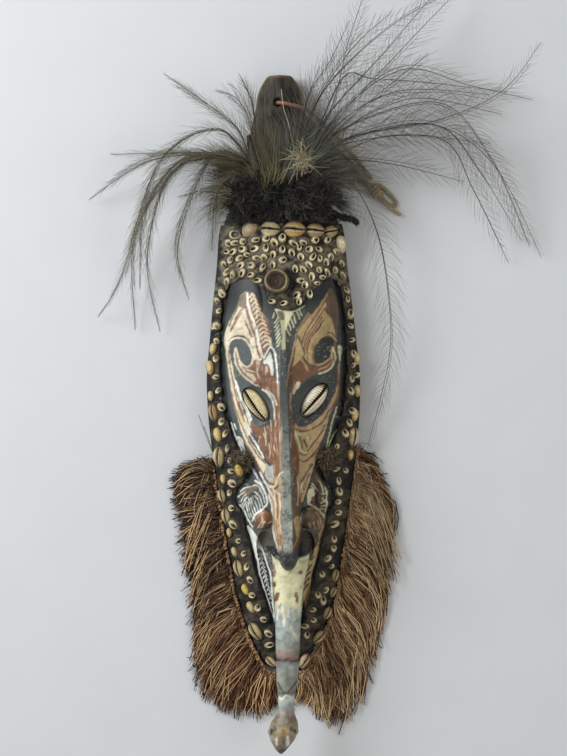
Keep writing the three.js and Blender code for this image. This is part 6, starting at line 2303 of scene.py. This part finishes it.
# Split cane and string that stick out at the fringe's top
LEFT_CANES = (
    ((-66, 277, 12), (-74, 298, 14), (-82, 321, 12)), ((-67, 280, 13), (-72, 296, 15), (-77, 310, 14)),
    ((-66, 284, 12), (-86, 277, 14), (-109, 267, 10)),
)
RIGHT_CANES = (((57.5, 300, 15), (56, 270, 17), (53, 240, 13)), ((66, 283, 13), (74, 292, 15), (84, 289, 12)))


@dataclass(frozen=True)
class Wisps:
    """A spray of soft hairs that start between two places and fan out between two directions in degrees."""

    count: int
    start: tuple[float, float, float]
    end: tuple[float, float, float]
    ways: tuple[float, float]
    lengths: tuple[float, float]
    dark: str
    pale: str


LEFT_WISPS = (
    Wisps(1500, (-38, 543, 30), (-2, 550, 46), (160, 84), (22, 72), "#4a4333", "#8b8164"),
    Wisps(520, (-46, 524, 26), (-36, 548, 34), (215, 140), (16, 52), "#3f3a2f", "#7d745b"),
    Wisps(160, (-46, 522, 44), (0, 545, 50), (200, 40), (10, 34), "#7a6e4c", "#a89b6e"),
)
RIGHT_WISPS = (
    Wisps(700, (2, 548, 44), (22, 554, 48), (92, 50), (34, 92), "#484c47", "#8d938c"),
    Wisps(1100, (14, 551, 40), (44, 543, 34), (78, -4), (24, 76), "#3f3e36", "#83806f"),
    Wisps(420, (30, 545, 34), (54, 522, 26), (60, -45), (10, 38), "#26241f", "#5f5b50"),
)


@dataclass(frozen=True)
class Barbs:
    """A feather's barbs: how many to the mm, sweep and scatter in degrees, length, thickness, colours."""

    share: float
    sweep: float
    scatter: float
    length: float
    thick: float
    dark: str
    pale: str


LEFT_BARBS = Barbs(0.7, 21, 9, 16, 0.13, "#3f392b", "#8d8568")
RIGHT_BARBS = Barbs(0.385, 45, 5, 23, 0.14, "#3f3b31", "#8a8474")


@dataclass
class FeatherTuft:
    """A bundle of long wiry feathers, bound at its root."""

    name: str
    node: str
    feathers: Sequence
    root: Points
    wisps: Sequence[Wisps]
    look: Barbs
    seed: int
    twins: int = 1
    straw: Sequence[float] = ()
    quill_root: float = 41.0
    straws: int = 110

    def quill(self, tip: float, lift: float, route: Points, stray: np.ndarray) -> np.ndarray:
        """Gives one quill's line.

        Args:
            tip: the tip's height.
            lift: how high the quill arches.
            route: its places across and along.
            stray: how far its tip is from the route's end.

        Returns:
            The line's points.
        """
        t = np.linspace(0, 1, len(route))
        up = self.quill_root * (1 - t) + tip * t + lift * 4 * t * (1 - t)
        line = np.column_stack([np.array(route, float), up]) + stray * t[:, None] ** 1.3
        line = curve_through(line, 12)
        line[:, 2] = np.maximum(line[:, 2], 1)
        return evenly(line, max(12, int(length_of(line) / 5)))

    def build(self, tree: Tree) -> bpy.types.Object:
        """Lays out quills, barbs, soft hairs and the bound root.

        Args:
            tree: the tree that spins strands.

        Returns:
            The finished piece.
        """
        rng = np.random.default_rng(self.seed)
        strands = Strands()
        for tip, lift, route in self.feathers:
            for twin in range(1 + self.twins):
                stray = rng.normal(0, (4.5, 4.5, 3)) * min(twin, 1)
                line = self.quill(tip, lift, route, stray)
                line = line[: int(len(line) * (1 if twin == 0 else rng.uniform(0.7, 1)))]
                thick = np.linspace(0.6, 0.24, len(line)) * (1 if twin == 0 else 0.7)
                strands.add(line[None], thick[None], linear("#2d2a22") * rng.uniform(0.8, 1.3))
                self.barbs(strands, line, rng, 1.0 if twin == 0 else 0.6)
        for wisps in self.wisps:
            self.spray(strands, wisps, rng)
        if self.straw:
            self.tie(strands, rng)
        root = evenly(curve_through(self.root), 24)[:12]
        piece = strands.spun(self.name, FEATHER, tree)
        wraps = tube(root, np.linspace(5.5, 2, 12) * (1 + 0.08 * np.sin(np.arange(12) * 2.4)), 14)
        butt = mesh_piece("bound_root", wraps, FEATHER, linear("#2c281f"))
        return hand_in(joined_mesh(piece, butt), "feather", self.node)

    def tie(self, strands: Strands, rng: np.random.Generator) -> None:
        """Adds the tangle of pale straw that ties the tuft, and the pale thread up to the hole.

        Args:
            strands: where the straw goes.
            rng: the source of chance.
        """
        count = self.straws
        centre = np.array(self.straw, float)
        root = centre + rng.normal(0, (4.2, 5.5, 2), (count, 3))
        way = unit(rng.normal(0, 1, (count, 3)) * (1, 1.3, 0.35) + (0.1, 0.5, 0.1))
        curl = rng.normal(0, 1.5, (count, 3)) * (1, 1, 0.25)
        long = rng.uniform(3.5, 8, (count, 1))
        lines = np.stack([root + (way * t * (1.3 - 0.7 * t) + curl * t * t) * long
                          for t in (-0.4, 0, 0.3, 0.65, 1)], axis=1)
        pale = rng.uniform(0, 1, (count, 1, 1))
        strands.add(lines, (0.2, 0.36, 0.4, 0.34, 0.16), between("#857a58", "#cbc09a", pale))
        thread = curve_through([(1.6, 630, 33), (3.5, 612, 34), (8, 596, 42), (12, 575, 50)], 6)
        strands.add(thread[None], np.full((1, len(thread)), 0.42), linear("#b9ab8a"))

    def barbs(self, strands: Strands, line: np.ndarray, rng: np.random.Generator, share: float) -> None:
        """Adds the fine barbs on both sides of one quill, evenly spaced and swept to its tip.

        Args:
            strands: where the barbs go.
            line: the quill's points.
            rng: the source of chance.
            share: how many barbs it has, against a full feather.
        """
        look = self.look
        count = int(length_of(line) * look.share * share)
        at = 0.08 + 0.91 * (np.arange(count) + rng.uniform(-0.4, 0.4, count)).clip(0) / count
        index = at * (len(line) - 1)
        low = np.minimum(index.astype(int), len(line) - 2)
        ahead = line[low + 1] - line[low]
        foot, run = line[low] + ahead * (index - low)[:, None], unit(ahead)
        side = np.cross(run, (0, 0, 1)) * np.where(np.arange(count) % 2, 1, -1)[:, None]
        angle = np.radians(rng.normal(look.sweep, look.scatter, count) * (1.1 - 0.35 * at))[:, None]
        out = run * np.cos(angle) + side * np.sin(angle) + rng.normal(0, 0.04, (count, 3))
        out[:, 2] += rng.normal(0, 0.12, count)
        long = look.length * np.interp(at, [0, 0.15, 0.4, 0.75, 0.9, 1], [0.5, 0.9, 1.1, 0.8, 0.4, 0.2])
        long = (rng.uniform(0.7, 1.25, count) * long)[:, None]
        bend = 0.3 * run + (0, -0.06, -0.06) + rng.normal(0, 0.09, (count, 3))
        lines = np.stack([foot, foot + out * long * 0.5, foot + (out + bend) * long], axis=1)
        lines[..., 2] = np.maximum(lines[..., 2], 0.5)
        tone = between(look.dark, look.pale, rng.uniform(0, 1, (count, 1, 1)))
        strands.add(lines, look.thick * np.array([1.1, 0.95, 0.45]), tone)

    @staticmethod
    def spray(strands: Strands, wisps: Wisps, rng: np.random.Generator) -> None:
        """Adds one spray of soft hairs.

        Args:
            strands: where the hairs go.
            wisps: the spray.
            rng: the source of chance.
        """
        count = wisps.count
        at = rng.uniform(0, 1, (count, 1))
        start, end = np.array(wisps.start, float), np.array(wisps.end, float)
        foot = start + (end - start) * at + rng.normal(0, (2, 3, 3), (count, 3))
        first, last = wisps.ways
        turn = np.radians(first + (last - first) * at[:, 0] + rng.normal(0, 11, count))
        way = np.stack([np.cos(turn), np.sin(turn), rng.normal(0.05, 0.16, count)], axis=1)
        long = rng.uniform(*wisps.lengths, (count, 1)) * rng.uniform(0.5, 1, (count, 1))
        curl = np.stack([-way[:, 1], way[:, 0], np.zeros(count)], axis=1) * rng.normal(0, 0.2, (count, 1))
        curl += (0, -0.1, -0.12)
        lines = np.stack([foot + (way * t + curl * t * t) * long for t in (0, 0.35, 0.7, 1)], axis=1)
        lines[..., 2] = np.maximum(lines[..., 2], 6)
        tone = between(wisps.dark, wisps.pale, rng.uniform(0, 1, (count, 1, 1)))
        strands.add(lines, (0.2, 0.17, 0.12, 0.05), tone)


@dataclass
class Fringe:
    """One side's strip of plant fibre with its knotted heading."""

    name: str
    node: str
    side: int
    edge: Points
    relief: Relief
    seed: int
    shades: tuple[str, str, str]
    sag: float
    bow: float
    fade: Sequence[float]
    falls: int
    canes: Sequence[Points]
    top: float
    count: int = 2740
    stray_count: int = 170
    fine: int = 400
    locks: int = 150
    heel: Points = ((19.5, 75.5), (9, 72), (0.6, 71))
    head_height: float = 10.0

    def head_line(self) -> np.ndarray:
        """Gives the line of the heading along the mask's edge.

        Returns:
            The line's points across and along.
        """
        rows = np.arange(self.top, 82, -14)
        side = self.relief.board_half(rows) + 3.6
        line = np.vstack([np.stack([self.side * side, rows], axis=1), np.array(self.heel) * (self.side, 1)])
        return curve_through(line, 8)

    def build(self, tree: Tree, setter: Tree) -> bpy.types.Object:
        """Hangs the fibres from the heading.

        Args:
            tree: the tree that spins strands.
            setter: the tree that sets a shape on each point.

        Returns:
            The finished piece.
        """
        rng = np.random.default_rng(self.seed)
        head = evenly(self.head_line(), self.fine)
        foot = np.array([[self.side * 0.6, self.edge[-1][1] + 3]])
        tips = evenly(curve_through(np.vstack([np.array(self.edge, float), foot]), 8), self.fine)
        strands = Strands()
        count = self.count
        at = rng.uniform(0, 1, count)
        lock = np.floor(at * self.locks).astype(int)
        drop, full = rng.normal(0, 0.024, self.locks), rng.uniform(0.78, 1.04, self.locks)
        end = 0.35 * at + 0.65 * (lock + 0.5) / self.locks + drop[lock] + rng.normal(0, 0.022, count)
        end = np.clip(end + self.sag * (1 - at) * smooth(at / 0.05), 0, 1)
        root, tip = on_line(head, at), on_line(tips, end)
        reach = full[lock] * rng.uniform(0.82, 1.04, count)
        reach *= np.where(rng.uniform(0, 1, count) < 0.25, 0.7, 1)
        reach += 0.12 * (rng.uniform(0, 1, count) > 0.95)
        high = rng.uniform(0, 1, count)
        t = np.array([0, 0.18, 0.4, 0.65, 0.86, 1.0])[None, :, None]
        flat = root[:, None, :] + (tip - root)[:, None, :] * t * np.minimum(reach, 1.1)[:, None, None]
        across = (tip - root)[:, ::-1] * (-1, 1)
        across /= np.maximum(np.linalg.norm(across, axis=1, keepdims=True), 1)
        long = np.linalg.norm(tip - root, axis=1)
        spread = rng.uniform(0.2, 1.6, count) + 0.7 * rng.normal(0, 1, self.locks)[lock]
        wave = (self.side * self.bow * long * spread)[:, None, None] * np.sin(np.pi * t)
        wave = wave + rng.normal(0, 1.6, (count, 1, 1)) * np.sin(2 * np.pi * t)
        wave = wave + rng.normal(0, 3.4, (count, 1, 1)) * t**3
        flat = flat + across[:, None, :] * wave
        arch = np.sin(np.pi * np.minimum(t[..., 0] + 0.25, 1))
        arch *= smooth(t[..., 0] / 0.16)
        up = (self.head_height - 4.5) * (1 - t[..., 0]) + 6 * high[:, None] * arch + 1.2 + 3.4 * high[:, None]
        lines = np.concatenate([flat, np.maximum(up, 0.6)[..., None]], axis=2)
        dark, mid, light = (linear(shade) for shade in self.shades)
        # Painted light: higher fibres lighter, lower ones darker, each darker toward its root
        share = (rng.uniform(0.2, 1.15, count) * (0.05 + 0.95 * high**1.3))[:, None, None] * (0.75 + 0.35 * t)
        share = np.clip(share + 0.12 * rng.normal(0, 1, self.locks)[lock][:, None, None], 0, 1)
        tone = np.where(share < 0.4, dark + (mid - dark) * share * 2.5,
                        mid + (light - mid) * (share - 0.4) / 0.6)
        tone = tone * np.interp(root[:, 1], [70, 180, 280], self.fade)[:, None, None]
        thick = rng.uniform(0.28, 0.72, (count, 1)) * np.array([0.8, 1, 1, 1, 0.95, 0.8])
        strands.add(lines, thick, tone)
        self.strays(strands, head, tips, rng, light)
        self.fallen(strands, head, rng, light)
        for cane in self.canes:
            strands.add(curve_through(cane, 4)[None], np.array([[0.45]]), linear("#8f7f5c"))
        piece = strands.spun(self.name, FIBRE, tree)
        return hand_in(joined_mesh(piece, self.knots(head, setter, rng)), "fibre", self.node)

    def strays(self, strands: Strands, head: np.ndarray, tips: np.ndarray, rng: np.random.Generator,
               light: np.ndarray) -> None:
        """Adds a few long pale fibres that fall across the others.

        Args:
            strands: where the fibres go.
            head: the heading's line.
            tips: the outer edge's line.
            rng: the source of chance.
            light: their colour.
        """
        count = self.stray_count
        at = rng.uniform(0.0, 0.85, count)
        end = np.clip(at + self.sag + rng.uniform(-0.02, 0.16, count), 0, 1)
        root, tip = on_line(head, at), on_line(tips, end)
        t = np.linspace(0, 1, 9)[None, :, None]
        bow = rng.uniform(-9, 9, (count, 1, 1)) * np.sin(np.pi * t)
        flat = root[:, None] + (tip - root)[:, None] * t * rng.uniform(0.6, 1.0, (count, 1, 1))
        flat = flat + bow * np.array([self.side, 0.6])
        up = 10.5 - 4 * t[..., 0] + rng.uniform(-1, 1.5, (count, 1))
        lines = np.concatenate([flat, np.broadcast_to(up[..., None], (*flat.shape[:2], 1))], axis=2)
        strands.add(lines, rng.uniform(0.28, 0.48, (count, 1)), light * rng.uniform(0.6, 1.15, (count, 1, 1)))

    def fallen(self, strands: Strands, head: np.ndarray, rng: np.random.Generator, light: np.ndarray) -> None:
        """Adds the pale fibres at the top that drop straight down along the mask's edge.

        Args:
            strands: where the fibres go.
            head: the heading's line.
            rng: the source of chance.
            light: their colour.
        """
        count = self.falls
        at = rng.uniform(0, 0.42, count) ** 1.2
        root = on_line(head, at)
        long = rng.uniform(35, 105, (count, 1)) * (1 - 0.9 * at[:, None])
        lean = self.side * rng.uniform(-0.02, 0.5, (count, 1))
        t = np.linspace(0, 1, 7)[None, :, None]
        way = np.concatenate([lean, np.full((count, 1), -1.0)], axis=1)
        flat = root[:, None] + (way * long)[:, None] * t
        flat = flat + (self.side * 7, 0) * np.sin(np.pi * t) * rng.uniform(0, 1, (count, 1, 1))
        flat = flat + rng.normal(0, 1.2, (count, 1, 1)) * np.sin(2 * np.pi * t)
        up = 10 + 3.5 * np.sin(np.pi * t[..., 0]) - 3 * t[..., 0] + rng.uniform(-1.5, 1.5, (count, 1))
        lines = np.concatenate([flat, up[..., None]], axis=2)
        strands.add(lines, rng.uniform(0.26, 0.58, (count, 1)), light * rng.uniform(0.3, 1.1, (count, 1, 1)))

    def knots(self, head: np.ndarray, setter: Tree, rng: np.random.Generator) -> bpy.types.Object:
        """Ties the row of knots that holds the fibres.

        Args:
            head: the heading's line.
            setter: the tree that sets a shape on each point.
            rng: the source of chance.

        Returns:
            The knots.
        """
        count = int(length_of(head) / 3.4)
        spots = evenly(head, count)
        places = np.column_stack([spots, np.full(count, self.head_height + 0.6)])
        places += (self.side * 1.6, 0, 0)
        places += rng.normal(0, 0.5, places.shape)
        arc = np.radians(np.linspace(-90, 90, 7))
        ball = lathe(np.stack([np.cos(arc) + 0.01, np.sin(arc)], axis=1), 9)
        # Each knot is lighter on top and darker underneath: painted light and shade
        tones = linear("#8c6a48") * (1 + 0.35 * ball.points[:, 2:])
        shape = loose_shape("knot_shape", ball, FIBRE, tones, 80, 1.0)
        sizes = rng.uniform(1.5, 2.4, (count, 3)) * (1.25, 0.85, 1) * MM
        turns = rng.uniform(-0.7, 0.7, (count, 3))
        return set_copies("knots", places, turns, sizes, shape, FIBRE, setter)


@dataclass
class HangingCord:
    """The plaited cord: two runs from the hole to the knot beside the mask."""

    diameter: float = 4.0
    front: Points = (
        (-2.2, 618.6, 17.5), (-1.9, 618.5, 21.5), (-0.4, 618.1, 26), (3.4, 617.2, 28.9), (9, 615.9, 29.6),
        (17, 613.9, 28), (25, 611, 24.6), (33, 605.5, 19), (41, 598.5, 12.6), (50, 589.5, 6.8),
        (60, 579.5, 3.5), (70, 568.8, 2.5), (80, 556.5, 2.6), (87.6, 545.5, 4.2),
    )
    back: Points = (
        (-2.2, 618.6, 14), (-1.7, 618.4, 10), (0.6, 617.6, 5.3), (5, 616.2, 2.9), (12, 613.8, 2.4),
        (20, 609.5, 2.4), (29, 602, 2.4), (38, 592.5, 2.4), (47, 582.5, 2.4), (57, 572.3, 2.4),
        (67, 561.8, 2.4), (76, 551, 2.6), (83.6, 541.3, 4),
    )
    knot_at: tuple[float, float, float] = (91.5, 533.5, 6.2)
    loop: Points = (
        (94, 541, 5), (101, 535, 3.8), (107.5, 528, 2.9), (111, 522.5, 2.4), (108.5, 518.8, 2.4),
        (103.5, 521.5, 2.6), (98, 527, 3.6), (93, 531, 5),
    )
    tail: Points = ((94, 528, 5), (100, 522, 7.2), (106.5, 516.4, 6.6), (114.5, 511, 2.6))
    tag: Points = ((88, 534.5, 5), (81.5, 539.5, 3), (74, 546.5, 2.4), (69.5, 551.5, 2.4))
    pitch: float = 7.0

    def plait(self, line: np.ndarray, diameter: float) -> Shell:
        """Makes a plaited cord along a line.

        Args:
            line: the middle line's points.
            diameter: the cord's width.

        Returns:
            The cord's body.
        """
        steps = max(12, int(length_of(line) / 0.7))
        path = evenly(line, steps)
        angle = np.arange(18) * 2 * np.pi / 18
        walked = np.linspace(0, length_of(line), steps)[:, None] * 2 * np.pi / self.pitch
        weave = np.cos(3 * angle + walked) * np.cos(3 * angle - walked)
        return tube(path, diameter / 2 * (0.9 + 0.1 * weave), 18)

    @staticmethod
    def tones(shell: Shell, near: str, far: str) -> np.ndarray:
        """Fades a cord's colour from the tab to the knot.

        Args:
            shell: the cord's body.
            near: its hex colour at the tab.
            far: its hex colour at the knot.

        Returns:
            Linear colours.
        """
        worn = 1 + 0.16 * chance(shell.points, 1.6, 91)[:, None]
        return between(near, far, smooth((shell.points[:, 0] - 15) / 45)[:, None]) * worn

    def build(self) -> None:
        knot = self.knot()
        for node, points, near, far in (("hanging_cord_front", self.front, "#a0705c", "#998b69"),
                                        ("hanging_cord_back", self.back, "#8c6652", "#8a7c5c")):
            line = curve_through(points, 10)
            body = self.plait(line, self.diameter)
            name = node.replace("hanging", "plaited")
            piece = mesh_piece(name, body, CORD, self.tones(body, near, far), 70)
            hand_in(piece, "cord", node)

    def knot(self) -> bpy.types.Object:
        """Ties the knot: three turns round the cord, a loop, a cut tail and a tag end.

        Returns:
            The finished piece.
        """
        turn = np.linspace(0, 6 * np.pi, 90)
        axis = np.array([0.55, -0.83, 0.0])
        side = np.array([0.83, 0.55, 0.0])
        wraps = (np.array(self.knot_at) + np.outer((turn / (6 * np.pi) - 0.5) * 10.5, axis)
                 + np.outer(np.cos(turn) * 3.9, side) + np.outer(np.sin(turn) * 2.4, (0, 0, 1)))
        body = self.plait(wraps, 4.2)
        body = body.plus(tube(np.array(self.knot_at) + np.outer(np.linspace(-5, 5, 12), axis),
                              np.full(12, 3.0), 12))
        for route in (self.loop, self.tail, self.tag):
            body = body.plus(self.plait(curve_through(route, 8), self.diameter * 0.9))
        body.points[:, 2] = np.maximum(body.points[:, 2], 0.4)
        tone = self.tones(body, "#9a6a52", "#988967")
        tone = over(tone, "#7d4a3a", smooth((86 - body.points[:, 0]) / 5))
        return hand_in(mesh_piece("cord_end_knot", body, CORD, tone, 70), "cord", "cord_knot")


@dataclass
class Studio:
    """The pale floor, the soft light and the camera."""

    aim: tuple[float, float] = (0.1, 355.3)
    height: float = 2.23
    lens: float = 110.0
    lean: float = 0.726

    def camera(self) -> None:
        """Puts the camera straight above the mask, leaning as the photograph does."""
        data = bpy.data.cameras.new("camera")
        data.lens = self.lens
        data.sensor_width = 36.0
        camera = new_object("camera", data)
        spot = (np.array([*self.aim, 0]) + SHIFT) * MM
        camera.location = (spot[0], spot[1], self.height)
        camera.rotation_euler = (0, 0, -math.radians(self.lean))
        bpy.context.scene.camera = camera

    def floor(self) -> None:
        """Lays the pale floor."""
        mesh = bpy.data.meshes.new("floor")
        size = 4.0
        corners = [(-size, -size, 0), (size, -size, 0), (size, size, 0), (-size, size, 0)]
        mesh.from_pydata(corners, [], [(0, 1, 2, 3)])
        mesh.materials.append(FLOOR.material())
        new_object("floor", mesh)

    def lights(self) -> None:
        """Hangs a big soft light at the upper left and a weak one at the right."""
        for name, place, size, power, colour in (
            ("window_light", (-1.5, 0.75, 1.15), 1.1, 41.0, (0.96, 0.98, 1.0)),
            ("fill_light", (1.6, -0.3, 1.6), 1.4, 12.0, (1.0, 0.96, 0.9)),
        ):
            data = bpy.data.lights.new(name, "AREA")
            data.size, data.energy, data.color = size, power, colour
            light = new_object(name, data)
            light.location = place
            way = Vector((0.03, 0, 0.03)) - Vector(place)
            light.rotation_euler = way.to_track_quat("-Z", "Y").to_euler()
        world = bpy.context.scene.world or bpy.data.worlds.new("world")
        bpy.context.scene.world = world
        world.use_nodes = True
        back = world.node_tree.nodes["Background"]
        back.inputs["Color"].default_value = (1.0, 0.985, 0.96, 1.0)
        back.inputs["Strength"].default_value = 0.37
        bpy.context.scene.view_settings.view_transform = "Standard"


def main() -> None:
    """Builds the mask piece by piece, the camera and the cords first."""
    logging.basicConfig(level=logging.INFO, format="%(name)s: %(message)s")
    studio = Studio()
    studio.camera()
    HangingCord().build()
    strands, setter = strand_tree(), setting_tree()
    relief = Relief()
    wood = MaskWood(relief)
    wood.build()
    nassas = NassaShells(relief)
    ShellPaste(relief, wood, nassas).build()
    nassas.build(setter)
    Cowries(relief).build()
    ForeheadDisc(relief).build()
    FurBand().build(strands)
    EarTufts(relief).build(strands)
    FeatherTuft("cassowary_feathers_left", "feather_tuft_left", LEFT_FEATHERS, LEFT_ROOT, LEFT_WISPS,
                LEFT_BARBS, seed=31, twins=2).build(strands)
    FeatherTuft("cassowary_feathers_right", "feather_tuft_right", RIGHT_FEATHERS, RIGHT_ROOT, RIGHT_WISPS,
                RIGHT_BARBS, seed=32, twins=1, straw=(19.5, 561, 53)).build(strands)
    Fringe("sago_fringe_left", "fringe_left", side=-1, edge=LEFT_FRINGE, relief=relief, seed=41,
           shades=("#0d0502", "#5f371c", "#d2ad7e"), sag=0.05, bow=0.08, fade=(1.3, 0.48, 0.28),
           falls=60, canes=LEFT_CANES, top=277).build(strands, setter)
    Fringe("sago_fringe_right", "fringe_right", side=1, edge=RIGHT_FRINGE, relief=relief, seed=42,
           shades=("#170d06", "#76522f", "#dcc096"), sag=0.16, bow=0.1, fade=(1.2, 1.2, 0.92),
           falls=420, canes=RIGHT_CANES, top=284).build(strands, setter)
    studio.floor()
    studio.lights()


if __name__ == "__main__":
    main()
